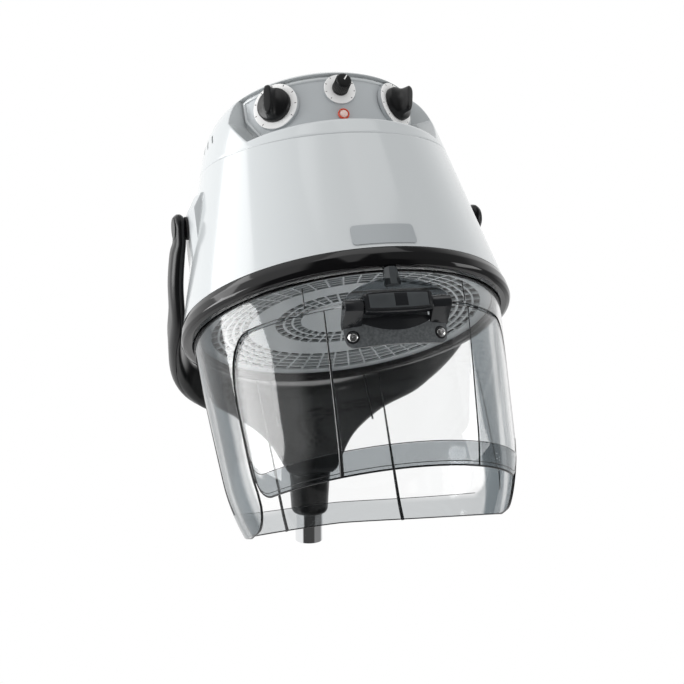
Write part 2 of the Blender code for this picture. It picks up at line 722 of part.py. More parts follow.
FASCIA_FACE = PANEL_RADIUS + FIT + FASCIA_THICKNESS
CONTROLS = (
    ("speed", -KNOB_ANGLE, KNOB_Z, DIAL_RADIUS),
    ("timer", 0.0, TIMER_Z, TIMER_DIAL_RADIUS),
    ("thermostat", KNOB_ANGLE, KNOB_Z, DIAL_RADIUS),
)


def panel_axis(name, angle, z):
    """A frame on the recess wall, with its own z pointing out of the panel."""
    out = polar(1.0, angle, 0.0)
    along = Vector((math.cos(angle), math.sin(angle), 0.0))
    turn = Matrix((along, Vector((0.0, 0.0, 1.0)), out)).transposed()
    return empty(name, polar(PANEL_RADIUS, angle, z), hood, turn)


def make_controls(crown):
    fascia = piece("control_fascia", sector(PANEL_RADIUS + FIT, FASCIA_THICKNESS,
                                            PANEL_HALF_ANGLE - FASCIA_MARGIN / PANEL_RADIUS,
                                            PANEL_BOTTOM + FASCIA_MARGIN, PANEL_TOP - FASCIA_MARGIN), hood,
                   (0.55, 0.57, 0.58), 0.35)
    pad_top = FIT + FASCIA_THICKNESS + PAD_RISE - FASCIA_THICKNESS
    for name, angle, z, dial in CONTROLS:
        axis = panel_axis(name + "_axis", angle, z)
        rise = pad_top if dial == DIAL_RADIUS else pad_top * 0.75
        pad = tool(name + "_pad", rod(dial + FIT, FIT + FASCIA_THICKNESS * 0.25, rise, steps=FINE_STEPS),
                   axis)
        combine(fascia, pad, "UNION")
        hole = tool(name + "_hole", rod(SPINDLE_RADIUS + FIT, -SHELL_WALL * 4.0, KNOB_HEIGHT), axis)
        combine(fascia, hole, "DIFFERENCE")
        combine(crown, hole, "DIFFERENCE")
        make_control(name, axis, rise, dial)
    make_lamp(crown, fascia)


def make_control(name, axis, seat, dial):
    """Switch body behind the wall, spindle, dial disc and knob of one control."""
    back = math.sqrt((PANEL_RADIUS - SHELL_WALL) ** 2 - CONTROL_RADIUS ** 2) - PANEL_RADIUS - FIT
    body = piece(name + "_body", rod(CONTROL_RADIUS, back - CONTROL_DEPTH, back, steps=COARSE_STEPS), hood,
                 (0.25, 0.25, 0.26), 0.5)
    body.parent = axis
    socket = tool(name + "_socket", rod(SPINDLE_RADIUS + FIT, back - CONTROL_DEPTH / 2.0, KNOB_HEIGHT), axis)
    combine(body, socket, "DIFFERENCE")
    disc = seat + FIT
    face = disc + DIAL_THICKNESS
    piece(name + "_dial", turned([(SPINDLE_RADIUS + FIT, disc), (dial, disc), (dial, face),
                                  (SPINDLE_RADIUS + FIT, face)]), axis, (0.88, 0.88, 0.87), 0.4)
    base = face + FIT
    deep = base + KNOB_SKIRT * 0.8
    piece(name + "_spindle", rod(SPINDLE_RADIUS, back - CONTROL_DEPTH / 2.0 + FIT, deep - FIT), axis,
          STEEL, 0.3, 1.0)
    if dial == DIAL_RADIUS:
        knob = wing_knob(name, axis, base)
    else:
        top = base + TIMER_KNOB_HEIGHT
        edge = TIMER_KNOB_RADIUS * 0.08
        knob = piece(name + "_knob", turned([(0.0, base), (TIMER_KNOB_RADIUS, base),
                                             (TIMER_KNOB_RADIUS - edge, top - edge),
                                             (TIMER_KNOB_RADIUS - 2.0 * edge, top), (0.0, top)]), axis,
                     BLACK, 0.35)
    combine(knob, tool(name + "_knob_hole", rod(SPINDLE_RADIUS + FIT, 0.0, deep), axis), "DIFFERENCE")


def wing_knob(name, axis, base):
    """A round skirt with a raised finger bar across it."""
    skirt = base + KNOB_SKIRT
    top = base + KNOB_HEIGHT
    knob = piece(name + "_knob", turned([(0.0, base), (KNOB_RADIUS, base), (KNOB_RADIUS * 0.97, skirt * 0.9),
                                         (KNOB_RADIUS * 0.9, skirt), (0.0, skirt)]), axis, BLACK, 0.3)
    half = KNOB_GRIP_WIDTH / 2.0
    sections = []
    for z, width, reach in ((skirt - KNOB_SKIRT / 2.0, half, KNOB_RADIUS * 0.93),
                            (top - half / 2.0, half * 0.75, KNOB_RADIUS * 0.9),
                            (top, half * 0.4, KNOB_RADIUS * 0.78)):
        blunt = width * 0.5
        outline = [(-width, -reach + blunt), (-blunt, -reach), (blunt, -reach), (width, -reach + blunt),
                   (width, reach - blunt), (blunt, reach), (-blunt, reach), (-width, reach - blunt)]
        sections.append([Vector((x, y, z)) for x, y in outline])
    combine(knob, tool(name + "_grip", lofted(sections), axis), "UNION")
    return knob


def make_lamp(crown, fascia):
    axis = panel_axis("lamp_axis", 0.0, LAMP_Z)
    stem = LAMP_LENS_RADIUS * 0.7
    hole = tool("lamp_hole", rod(stem + FIT, -SHELL_WALL * 2.0, LAMP_RADIUS), axis)
    combine(fascia, hole, "DIFFERENCE")
    combine(crown, hole, "DIFFERENCE")
    seat = FASCIA_THICKNESS + 2.0 * FIT
    top = seat + LAMP_RADIUS * 0.4
    bore = LAMP_LENS_RADIUS + FIT
    piece("lamp_bezel", turned([(bore, seat), (LAMP_RADIUS, seat), (LAMP_RADIUS * 0.96, top), (bore, top)]),
          axis, (0.6, 0.08, 0.05), 0.3)
    piece("lamp_lens", turned([(0.0, -SHELL_WALL), (stem, -SHELL_WALL), (stem, seat), (LAMP_LENS_RADIUS, seat),
                               (LAMP_LENS_RADIUS, top * 0.9), (LAMP_LENS_RADIUS * 0.6, top * 1.1),
                               (0.0, top * 1.15)]), axis, (0.75, 0.62, 0.58), 0.2)


def make_badge():
    half = BADGE_HALF_WIDTH / shell_radius(BADGE_BOTTOM)
    angles = spread(-half, half, 14)
    heights = spread(BADGE_BOTTOM, BADGE_TOP, 3)
    grids = [[[polar(shell_radius(z) + lift, a, z) for a in angles] for z in heights]
             for lift in (FIT + BADGE_THICKNESS, FIT)]
    piece("badge_plate", thick_patch(*grids), hood, (0.66, 0.68, 0.69), 0.3)


# Rim ring and grille

GROOVE_OUTER = VISOR_RADIUS + GROOVE_ROOM
GROOVE_INNER = VISOR_RADIUS - VISOR_WALL - GROOVE_ROOM * 2.0
LEDGE_INNER = GRILLE_RADIUS - GRILLE_FLANGE - GROOVE_ROOM
LEDGE_TOP = LEDGE_Z + LEDGE_THICKNESS
GROOVE_TOP = VISOR_GROOVE_DEPTH - RIM_DROP
GRILLE_SEAT = GRILLE_RADIUS + FIT * 3.0


def make_rim():
    lip = RIM_DROP
    ring = piece("rim_ring", turned([
        (LEDGE_INNER, LEDGE_Z), (GRILLE_SEAT, LEDGE_Z), (GRILLE_SEAT, -lip), (GROOVE_INNER, -lip),
        (GROOVE_INNER, GROOVE_TOP), (GROOVE_OUTER, GROOVE_TOP), (GROOVE_OUTER, -lip), (RIM_RADIUS - lip, -lip),
        (RIM_RADIUS - lip * 0.3, -lip * 0.7), (RIM_RADIUS, 0.0), (RIM_RADIUS - lip * 0.2, RIM_TOP * 0.55),
        (SHELL_BASE_RADIUS, RIM_TOP), (SHELL_BASE_RADIUS - SHELL_WALL * 2.0, RIM_TOP),
        (SHELL_BASE_RADIUS - SHELL_WALL * 2.0, LEDGE_TOP), (LEDGE_INNER, LEDGE_TOP)], HOOD_STEPS),
        hood, BLACK, 0.18)
    make_grille(ring)


def grille_height(radius):
    """Underside of the grille, which is gently domed inside its flat flange."""
    edge = GRILLE_RADIUS - GRILLE_FLANGE
    return GRILLE_RISE * max(0.0, 1.0 - (radius / edge) ** 2)


def make_grille(ring):
    pitch = 2.0 * math.pi / GRILLE_SPOKES
    angles = []
    for k in range(GRILLE_SPOKES):
        angles += [k * pitch, k * pitch + pitch * GRILLE_SLOT_SHARE]
    edge = GRILLE_RADIUS - GRILLE_FLANGE
    field = edge - GRILLE_BORDER
    eye = GRILLE_HUB + GRILLE_HUB_SLOT
    radii = [GRILLE_HUB, eye, eye + GRILLE_HUB_RIM] + spread(field - GRILLE_FIELD, field, 2 * GRILLE_ROWS)
    radii += [edge, GRILLE_RADIUS]
    top = LEDGE_Z - FIT
    grids = [[[polar(r, a, grille_height(r) + lift) for a in angles] for r in radii]
             for lift in (top - GRILLE_THICKNESS, top)]
    slotted = [1] + list(range(3, 3 + 2 * GRILLE_ROWS, 2))
    grille = piece("air_grille", thick_patch(*grids, wrap=True, hub=True,
                                             skip=lambda row, column: row in slotted and column % 2 == 0),
                   hood, (0.62, 0.64, 0.65), 0.4)
    spot = GRILLE_RADIUS - GRILLE_FLANGE / 2.0
    head = GRILLE_SCREW_RADIUS * 2.0
    bottom = top - GRILLE_THICKNESS
    for k in range(4):
        centre = polar(spot, math.radians(45.0 + 90.0 * k), 0.0)
        shank = rod(GRILLE_SCREW_RADIUS + FIT, bottom - head, LEDGE_TOP - GRILLE_SCREW_RADIUS, "Z", centre)
        hole = tool("grille_screw_hole_%d" % (k + 1), shank, hood)
        combine(grille, hole, "DIFFERENCE")
        combine(ring, hole, "DIFFERENCE")
        tip = LEDGE_TOP - GRILLE_SCREW_RADIUS - FIT
        piece("grille_screw_%d" % (k + 1),
              turned([(0.0, bottom - FIT - GRILLE_SCREW_RADIUS), (head, bottom - FIT - GRILLE_SCREW_RADIUS),
                      (head, bottom - FIT), (GRILLE_SCREW_RADIUS, bottom - FIT), (GRILLE_SCREW_RADIUS, tip),
                      (0.0, tip)], COARSE_STEPS, "Z", centre), hood, STEEL, 0.3, 1.0)


# Visor and flap

SKIRT_ROWS = (0.0, 0.4, 0.75, 0.88, 1.0)


def visor_radius(z):
    """Radius of the visor: straight in the rim's groove, then drawn in, with a curled lower lip."""
    curl = max(0.0, VISOR_CURL_SPAN - VISOR_SIDE_BOTTOM - z) / VISOR_CURL_SPAN
    return VISOR_RADIUS + VISOR_TAPER * min(0.0, z + VISOR_STRAIGHT) - VISOR_CURL * curl * curl


def visor_point(angle, z, out=0.0):
    """A point on the outside of the visor, which leans forward below the rim, or so far out from it."""
    lean = Vector((0.0, VISOR_LEAN * min(0.0, z + VISOR_STRAIGHT), 0.0))
    return polar(visor_radius(z) + out, angle, z) + lean


def corner_drop(angle, half_angle):
    """How far a rounded upper corner has come down at an angle."""
    span = FLAP_CORNER_WIDTH / VISOR_RADIUS
    past = min(1.0, max(0.0, abs(angle) - (half_angle - span)) / span)
    return FLAP_CORNER_DROP * (1.0 - math.sqrt(1.0 - past * past))


def visor_bottom(angle):
    """Lower edge of the skirt: deepest at the sides, shallow at the back, rounded at the front corners."""
    back = (math.cos(angle) + 1.0) / 2.0
    wave = VISOR_REAR_BOTTOM + (VISOR_SIDE_BOTTOM - VISOR_REAR_BOTTOM) * min(1.0, 2.0 * back) ** 0.8
    past = max(0.0, 1.0 - (abs(angle) - FLAP_HALF_ANGLE - FLAP_SIDE_GAP) / VISOR_CORNER_SPAN)
    return -(wave - VISOR_CORNER * (1.0 - math.sqrt(max(0.0, 1.0 - min(1.0, past) ** 2))))


def skirt(angles, edges, out):
    """Rows of points of a clear wall, each row running between two edge curves."""
    rows = []
    for share in SKIRT_ROWS:
        row = []
        for angle in angles:
            top, bottom = edges(angle)
            z = top + share * (bottom - top)
            row.append(visor_point(angle, z, out))
        rows.append(row)
    return rows


def make_visor():
    window = FLAP_HALF_ANGLE + FLAP_SIDE_GAP
    front = spread(-window, window, 19)
    back = spread(window, 2.0 * math.pi - window, 29)[1:-1]
    angles = front + back
    collar_top = GROOVE_TOP - FIT

    def collar_edge(angle):
        return -COLLAR_DEPTH - corner_drop(angle, window)

    def turned_angle(angle):
        return angle if angle <= math.pi else angle - 2.0 * math.pi

    grids = []
    for out in (0.0, -VISOR_WALL):
        grid = []
        for z in (collar_top, -VISOR_STRAIGHT):
            grid.append([visor_point(a, z, out) for a in angles])
        for share in SKIRT_ROWS:
            row = []
            for angle in angles:
                here = turned_angle(angle)
                top = collar_edge(here)
                z = top + share * (visor_bottom(here) - top)
                row.append(visor_point(angle, z, out))
            grid.append(row)
        grids.append(grid)
    def in_window(row, column):
        return row >= 2 and column < len(front) - 1

    piece("visor_shell", thick_patch(*grids, wrap=True, skip=in_window), hood, CLEAR, 0.08, 0.0, 0.35)


flap_axis = empty("flap_axis", (0.0, -HINGE_FORWARD, -HINGE_DROP), hood)


def shifted(mesh):
    """Move a mesh drawn in the hood's frame into the frame of the flap's hinge."""
    bmesh.ops.translate(mesh, verts=mesh.verts, vec=(0.0, HINGE_FORWARD, HINGE_DROP))
    return mesh


def make_flap():
    angles = spread(-FLAP_HALF_ANGLE, FLAP_HALF_ANGLE, 24)

    def edges(angle):
        return (-COLLAR_DEPTH - FLAP_TOP_GAP - corner_drop(angle, FLAP_HALF_ANGLE), -FLAP_BOTTOM)

    wall = thick_patch(skirt(angles, edges, 0.0), skirt(angles, edges, -VISOR_WALL))
    pane = piece("flap_pane", shifted(wall), flap_axis, CLEAR, 0.08, 0.0, 0.35)
    make_hinge(pane)


# Flap hinge

def make_hinge(pane):
    pin_room = HINGE_PIN_RADIUS + FIT
    knuckle_start = BARREL_HALF_LENGTH + FIT * 4.0
    knuckle_end = knuckle_start + KNUCKLE_LENGTH
    piece("hinge_pin", rod(HINGE_PIN_RADIUS, -knuckle_end, knuckle_end, "X"), flap_axis, STEEL, 0.3, 1.0)
    barrel = []
    for share in spread(-1.0, 1.0, 7):
        barrel.append((BARREL_RADIUS * (1.0 - 0.12 * share * share), share * BARREL_HALF_LENGTH))
    upper = piece("hinge_upper_leaf", turned([(pin_room, -BARREL_HALF_LENGTH)] + barrel
                                             + [(pin_room, BARREL_HALF_LENGTH)], FINE_STEPS, "X",
                                             (0.0, -HINGE_FORWARD, -HINGE_DROP)), hood, SMOKE, 0.2)
    combine(upper, tool("hinge_arch", hinge_arch(), hood), "UNION")
    stem_top = -RIM_DROP - FIT
    stem = block((-STEM_HALF_WIDTH, -HINGE_FORWARD - ARCH_THICKNESS / 2.0, ARCH_HEIGHT * 0.8 - HINGE_DROP),
                 (STEM_HALF_WIDTH, -VISOR_RADIUS - VISOR_WALL / 2.0, stem_top))
    combine(upper, tool("hinge_stem", stem, hood), "UNION")
    combine(upper, tool("hinge_pin_hole", rod(pin_room, -knuckle_end, knuckle_end, "X",
                                              (0.0, -HINGE_FORWARD, -HINGE_DROP)), hood), "DIFFERENCE")
    make_lower_leaf(pane, knuckle_start, pin_room)


def hinge_arch():
    """A half-round plate that stands on the barrel and joins it to the stem."""
    low = BARREL_RADIUS * 0.6 - HINGE_DROP
    foot = KNUCKLE_RADIUS + FIT * 4.0 - HINGE_DROP
    outline = [(-BARREL_HALF_LENGTH, low), (BARREL_HALF_LENGTH, low), (BARREL_HALF_LENGTH, foot)]
    rise = ARCH_HEIGHT - KNUCKLE_RADIUS - FIT * 4.0
    for turn in spread(0.0, math.pi, 13):
        outline.append((ARCH_HALF_WIDTH * math.cos(turn), foot + rise * math.sin(turn)))
    outline.append((-BARREL_HALF_LENGTH, foot))
    front = -HINGE_FORWARD - ARCH_THICKNESS / 2.0
    return lofted([[Vector((x, y, z)) for x, z in outline] for y in (front, front + ARCH_THICKNESS)])


def make_lower_leaf(pane, knuckle_start, pin_room):
    half = HINGE_PLATE_HALF_WIDTH / visor_radius(-HINGE_PLATE_BOTTOM)
    angles = spread(-half, half, 13)
    grids = []
    for lift in (FIT + HINGE_PLATE_THICKNESS, FIT):
        grid = []
        for share in (0.0, 1.0):
            row = []
            for angle in angles:
                swell = BARREL_RADIUS * 0.3 * max(0.0, 1.0 - (angle / half / 0.6) ** 2)
                z = swell - HINGE_PLATE_TOP + share * (HINGE_PLATE_TOP - swell - HINGE_PLATE_BOTTOM)
                row.append(visor_point(angle, z, lift))
            grid.append(row)
        grids.append(grid)
    leaf = piece("hinge_lower_leaf", shifted(thick_patch(*grids)), flap_axis, SMOKE, 0.25)
    for side, hand in ((-1.0, "left"), (1.0, "right")):
        combine(leaf, tool("hinge_knuckle_" + hand, knuckle(side, knuckle_start), flap_axis), "UNION")
        make_hinge_screw(leaf, pane, side, hand)
    reach = knuckle_start + KNUCKLE_LENGTH * 2.0
    combine(leaf, tool("knuckle_hole", rod(pin_room, -reach, reach, "X"), flap_axis), "DIFFERENCE")


def knuckle(side, start):
    """An eye round the hinge pin with a web that runs down to the plate on the flap."""
    z_low = HINGE_DROP - HINGE_PLATE_TOP - HINGE_PLATE_THICKNESS
    outline = [(KNUCKLE_RADIUS * math.sin(t), KNUCKLE_RADIUS * math.cos(t))
               for t in spread(math.radians(-150.0), math.radians(60.0), 11)]
    sections = []
    for x in (start, start + KNUCKLE_LENGTH):
        turn = math.asin(min(x, HINGE_PLATE_HALF_WIDTH * 0.98) / visor_radius(z_low - HINGE_DROP))
        surface = HINGE_FORWARD + visor_point(turn, z_low - HINGE_DROP, FIT + HINGE_PLATE_THICKNESS / 2.0).y
        web = [(surface, z_low + HINGE_PLATE_THICKNESS), (surface, z_low - HINGE_PLATE_THICKNESS / 2.0)]
        sections.append([Vector((side * x, y, z)) for y, z in outline + web])
    return lofted(sections)


def make_hinge_screw(leaf, pane, side, hand):
    drop = HINGE_PLATE_TOP + (HINGE_PLATE_BOTTOM - HINGE_PLATE_TOP) * 0.52
    angle = side * math.asin(HINGE_SCREW_SPREAD / visor_radius(-drop))
    out = polar(1.0, angle, 0.0)
    along = Vector((math.cos(angle), math.sin(angle), 0.0))
    turn = Matrix((along, Vector((0.0, 0.0, 1.0)), out)).transposed()
    spot = visor_point(angle, -drop) + Vector((0.0, HINGE_FORWARD, HINGE_DROP))
    axis = empty("hinge_screw_axis_" + hand, spot, flap_axis, turn)
    depth = VISOR_WALL + HINGE_SCREW_RADIUS
    face = HINGE_PLATE_THICKNESS + FIT * 3.0
    hole = tool("hinge_screw_hole_" + hand, rod(HINGE_SCREW_RADIUS + FIT, -2.0 * depth, 2.0 * depth), axis)
    combine(leaf, hole, "DIFFERENCE")
    combine(pane, hole, "DIFFERENCE")
    piece("hinge_screw_" + hand,
          turned([(0.0, -depth), (HINGE_SCREW_RADIUS, -depth), (HINGE_SCREW_RADIUS, face),
                  (HINGE_SCREW_HEAD, face), (HINGE_SCREW_HEAD * 0.9, face + HINGE_SCREW_RADIUS * 0.7),
                  (HINGE_SCREW_HEAD * 0.5, face + HINGE_SCREW_RADIUS * 1.2),
                  (0.0, face + HINGE_SCREW_RADIUS * 1.3)]),
          axis, CHROME, 0.15, 1.0)


# Air guide, motor, fan and heater

def make_inside():
    base = LEDGE_TOP + FIT
    wall = GUIDE_WALL
    shelf = HEATER_Z - FIT
    guide_inner = GUIDE_RADIUS - wall
    piece("air_guide", turned([
        (LEDGE_INNER + GRILLE_FLANGE, base), (LEDGE_INNER + GRILLE_FLANGE, base + GUIDE_FLANGE),
        (GUIDE_RADIUS, base + GUIDE_FLANGE), (GUIDE_RADIUS, GUIDE_SHOULDER), (GUIDE_TOP_RADIUS, GUIDE_TOP),
        (INLET_RADIUS, GUIDE_TOP), (INLET_RADIUS, GUIDE_TOP - wall),
        (GUIDE_TOP_RADIUS - wall * 0.4, GUIDE_TOP - wall),
        (guide_inner, GUIDE_SHOULDER - wall * 0.6), (guide_inner, shelf), (guide_inner - wall * 2.0, shelf),
        (guide_inner - wall * 2.0, shelf - wall), (guide_inner, shelf - wall * 2.0), (guide_inner, base)],
        AIR_STEPS), hood, (0.45, 0.46, 0.47), 0.4)
    make_motor()
    make_heater(guide_inner)


def make_motor():
    foot = GUIDE_TOP + FIT
    top = foot + BRACKET_HEIGHT
    wall = BRACKET_WALL
    rim = BRACKET_RADIUS * 1.25
    bracket = piece("motor_bracket", turned([
        (BRACKET_RADIUS, foot), (rim, foot), (rim, foot + wall), (BRACKET_RADIUS + wall, foot + wall),
        (BRACKET_RADIUS + wall, top), (SHAFT_RADIUS * 2.0, top), (SHAFT_RADIUS * 2.0, top - wall),
        (BRACKET_RADIUS, top - wall)]), hood, STEEL, 0.4, 1.0)
    for k in range(3):
        window = block((-BRACKET_RADIUS * 0.6, 0.0, foot + wall * 1.6),
                       (BRACKET_RADIUS * 0.6, rim * 1.2, top - wall * 1.6))
        bmesh.ops.rotate(window, verts=window.verts, matrix=Matrix.Rotation(math.radians(120.0 * k), 3, "Z"))
        combine(bracket, tool("bracket_window_%d" % (k + 1), window, hood), "DIFFERENCE")
    seat = top + FIT
    bore = SHAFT_RADIUS + FIT
    edge = MOTOR_RADIUS * 0.1
    piece("motor_body", turned([(bore, seat), (MOTOR_RADIUS, seat), (MOTOR_RADIUS, seat + MOTOR_HEIGHT - edge),
                                (MOTOR_RADIUS - edge, seat + MOTOR_HEIGHT), (bore, seat + MOTOR_HEIGHT)]),
          hood, (0.35, 0.36, 0.37), 0.35, 1.0)
    piece("motor_shaft", rod(SHAFT_RADIUS, FAN_BOTTOM - SHAFT_RADIUS, seat + MOTOR_HEIGHT + SHAFT_RADIUS),
          hood, STEEL, 0.2, 1.0)
    hub = SHAFT_RADIUS * 2.6
    plate = FAN_BOTTOM + BRACKET_WALL
    hub_top = FAN_BOTTOM + FAN_HEIGHT * 0.6
    fan = piece("fan_wheel", turned([(bore, FAN_BOTTOM), (FAN_RADIUS, FAN_BOTTOM), (FAN_RADIUS, plate),
                                     (hub, plate), (hub, hub_top), (bore, hub_top)]), hood, (0.7, 0.7, 0.7), 0.4)
    blades = bmesh.new()
    for k in range(FAN_BLADES):
        turn = Matrix.Rotation(2.0 * math.pi * k / FAN_BLADES, 4, "Z")
        length = FAN_RADIUS - FAN_EYE
        reach = FAN_RADIUS * 0.98 - length / 2.0
        spot = Matrix.Translation((0.0, reach, FAN_BOTTOM + FAN_HEIGHT / 2.0))
        lean = Matrix.Rotation(math.radians(20.0), 4, "Z")
        size = Matrix.Diagonal((BRACKET_WALL, length * 0.9, FAN_HEIGHT - BRACKET_WALL, 1.0))
        bmesh.ops.create_cube(blades, size=1.0, matrix=turn @ spot @ lean @ size)
    combine(fan, tool("fan_blades", blades, hood), "UNION")


def make_heater(guide_inner):
    top = HEATER_Z + HEATER_PLATE
    outer = guide_inner - FIT * 2.0
    piece("heater_frame", turned([(HEATER_HOLE, HEATER_Z), (outer, HEATER_Z), (outer, top), (HEATER_HOLE, top)],
                                 AIR_STEPS), hood, (0.75, 0.68, 0.5), 0.6)
    lift = top + FIT + COIL_TUBE
    ring = [(COIL_RADIUS + COIL_TUBE * math.cos(t), lift + COIL_TUBE * math.sin(t))
            for t in (2.0 * math.pi * (k + 0.5) / 8.0 for k in range(8))]
    piece("heater_coil", turned(ring, AIR_STEPS), hood, (0.5, 0.42, 0.36), 0.4, 1.0)
    spot = polar(HEATER_HOLE + CUTOUT_RADIUS * 1.4, math.pi, 0.0)
    piece("thermal_cutout", rod(CUTOUT_RADIUS, top + FIT, top + FIT + CUTOUT_HEIGHT, "Z", spot), hood,
          (0.8, 0.78, 0.7), 0.4)


make_pole()
make_fork()
make_shell()
crown_cover = make_crown()
make_controls(crown_cover)
make_badge()
make_rim()
make_visor()
make_flap()
make_inside()
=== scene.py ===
"""Salon hood dryer head on its fork and pole end, dressed for a studio picture."""
import json
import math

import bmesh
import bpy
from mathutils import Matrix, Vector

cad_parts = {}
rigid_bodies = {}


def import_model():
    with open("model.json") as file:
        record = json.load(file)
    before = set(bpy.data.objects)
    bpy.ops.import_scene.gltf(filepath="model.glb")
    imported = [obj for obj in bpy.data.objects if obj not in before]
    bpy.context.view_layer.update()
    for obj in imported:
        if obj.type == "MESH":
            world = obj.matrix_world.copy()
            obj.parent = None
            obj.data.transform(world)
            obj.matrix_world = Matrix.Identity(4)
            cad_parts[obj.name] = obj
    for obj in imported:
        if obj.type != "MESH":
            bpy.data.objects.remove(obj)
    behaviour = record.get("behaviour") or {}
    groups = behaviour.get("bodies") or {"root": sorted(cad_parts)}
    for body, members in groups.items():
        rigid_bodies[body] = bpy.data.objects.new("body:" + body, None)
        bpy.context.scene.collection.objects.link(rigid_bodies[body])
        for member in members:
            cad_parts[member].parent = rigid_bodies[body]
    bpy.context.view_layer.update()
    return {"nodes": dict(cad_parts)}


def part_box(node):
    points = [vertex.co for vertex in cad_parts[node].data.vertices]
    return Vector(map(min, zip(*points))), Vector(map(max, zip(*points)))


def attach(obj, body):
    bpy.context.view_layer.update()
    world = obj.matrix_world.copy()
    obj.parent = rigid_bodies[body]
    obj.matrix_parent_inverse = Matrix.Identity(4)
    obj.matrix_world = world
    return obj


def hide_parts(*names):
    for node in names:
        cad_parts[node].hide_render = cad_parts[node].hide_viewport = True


for leftover in list(bpy.data.objects):
    bpy.data.objects.remove(leftover, do_unlink=True)
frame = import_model()


# Pole end
# A drawn steel tube of 35 mm, plated with bright chrome, that stands up into the fork's neck.
# A moulded plug closes its lower end, and a nylon bush on its upper end lets the fork swivel.

def new_tree(name, kind, takes, gives):
    """A node group with its sockets, and the two ends that carry them."""
    tree = bpy.data.node_groups.new(name, kind)
    for way, sockets in (("INPUT", takes), ("OUTPUT", gives)):
        for label, socket in sockets:
            tree.interface.new_socket(label, in_out=way, socket_type="NodeSocket" + socket)
    return tree, tree.nodes.new("NodeGroupInput").outputs, tree.nodes.new("NodeGroupOutput").inputs


def add(tree, kind, inputs, **settings):
    """The outputs of a new node, whose inputs are linked to sockets or set to values."""
    node = tree.nodes.new(kind)
    for name, value in settings.items():
        setattr(node, name, value)
    for label, value in inputs.items():
        if isinstance(value, bpy.types.NodeSocket):
            tree.links.new(value, node.inputs[label])
        else:
            node.inputs[label].default_value = value
    return node.outputs


def maths(tree, operation, *values):
    """The result of a math node."""
    return add(tree, "ShaderNodeMath", dict(enumerate(values)), operation=operation)[0]


# Shader group: a colour that drifts in soft patches, a gloss that varies, and a fine grain to bump
skin_tree, given, leave = new_tree(
    "surface_skin", "ShaderNodeTree",
    (("Colour", "Color"), ("Drift", "Float"), ("Patch Scale", "Float"), ("Roughness", "Float"),
     ("Gloss Spread", "Float"), ("Grain Scale", "Float")),
    (("Colour", "Color"), ("Roughness", "Float"), ("Height", "Float")))
where = add(skin_tree, "ShaderNodeTexCoord", {})["Object"]
patches, fine_grain = (
    add(skin_tree, "ShaderNodeTexNoise", {"Vector": where, "Scale": given[scale], "Detail": detail})["Fac"]
    for scale, detail in (("Patch Scale", 3.0), ("Grain Scale", 2.0)))
uneven = maths(skin_tree, "SUBTRACT", patches, 0.5)
shade = maths(skin_tree, "MULTIPLY_ADD", uneven, given["Drift"], 1.0)
tint = add(skin_tree, "ShaderNodeVectorMath", {0: given["Colour"], "Scale": shade},
           operation="SCALE")["Vector"]
sheen = maths(skin_tree, "MULTIPLY_ADD", uneven, given["Gloss Spread"], given["Roughness"])
for label, socket in (("Colour", tint), ("Roughness", sheen), ("Height", fine_grain)):
    skin_tree.links.new(socket, leave[label])


def skin_base(name, colour, roughness, drift, gloss, patch, grain):
    """A material with the skin group on its shader: itself, the shader's inputs and the group's outputs."""
    material = bpy.data.materials.new(name)
    material.use_nodes = True
    tree = material.node_tree
    shader = tree.nodes["Principled BSDF"].inputs
    shader["Base Color"].default_value = (*colour, 1.0)
    shader["Roughness"].default_value = roughness
    skin = add(tree, "ShaderNodeGroup", {
        "Colour": (*colour, 1.0), "Drift": drift, "Patch Scale": patch, "Roughness": roughness,
        "Gloss Spread": gloss, "Grain Scale": grain}, node_tree=skin_tree)
    tree.links.new(skin["Colour"], shader["Base Color"])
    tree.links.new(skin["Roughness"], shader["Roughness"])
    return material, shader, skin


def skinned(name, colour, roughness, drift, metallic=0.0, gloss=0.08, patch=60.0, grain=900.0, depth=0.02,
            specular=0.5, more=()):
    """A finish whose colour and gloss drift in patches of a scale, over a grain of a scale and a depth."""
    material, shader, skin = skin_base(name, colour, roughness, drift, gloss, patch, grain)
    for label, value in (("Metallic", metallic), ("Specular IOR Level", specular), *more):
        shader[label].default_value = value
    tree = material.node_tree
    bump = add(tree, "ShaderNodeBump", {"Strength": depth, "Distance": 0.0004, "Height": skin["Height"]})
    tree.links.new(bump["Normal"], shader["Normal"])
    return material


def new_object(name, data):
    """An object of the scene that holds the given data."""
    item = bpy.data.objects.new(name, data)
    bpy.context.collection.objects.link(item)
    return item


def shaded(data, sharp):
    """Shade a mesh smooth, except across edges sharper than an angle."""
    data.shade_smooth()
    data.set_sharp_from_angle(angle=math.radians(sharp))


def make_piece(name, points, faces, material, sharp=38.0, place=None):
    """A named object from points and faces, smooth except across sharp edges."""
    data = bpy.data.meshes.new(name)
    data.from_pydata([tuple(p) for p in points], [], faces)
    shape = bmesh.new()
    shape.from_mesh(data)
    bmesh.ops.remove_doubles(shape, verts=shape.verts, dist=2e-6)
    bmesh.ops.recalc_face_normals(shape, faces=shape.faces)
    if place:
        bmesh.ops.transform(shape, matrix=place, verts=shape.verts)
    shape.to_mesh(data)
    shape.free()
    shaded(data, sharp)
    data.materials.append(material)
    return new_object(name, data)


def softened(outline, radius, parts):
    """A closed outline with its corners rounded; corners on the axis stay."""
    result = []
    for k, corner in enumerate(outline):
        here = Vector(corner)
        before = Vector(outline[k - 1]) - here
        after = Vector(outline[(k + 1) % len(outline)]) - here
        if here.x < 1e-7:
            result.append(here)
            continue
        cut = min(radius, 0.45 * before.length, 0.45 * after.length)
        start = here + before.normalized() * cut
        end = here + after.normalized() * cut
        for t in (step / parts for step in range(parts + 1)):
            result.append(start * (1 - t) ** 2 + here * 2 * t * (1 - t) + end * t * t)
    return result


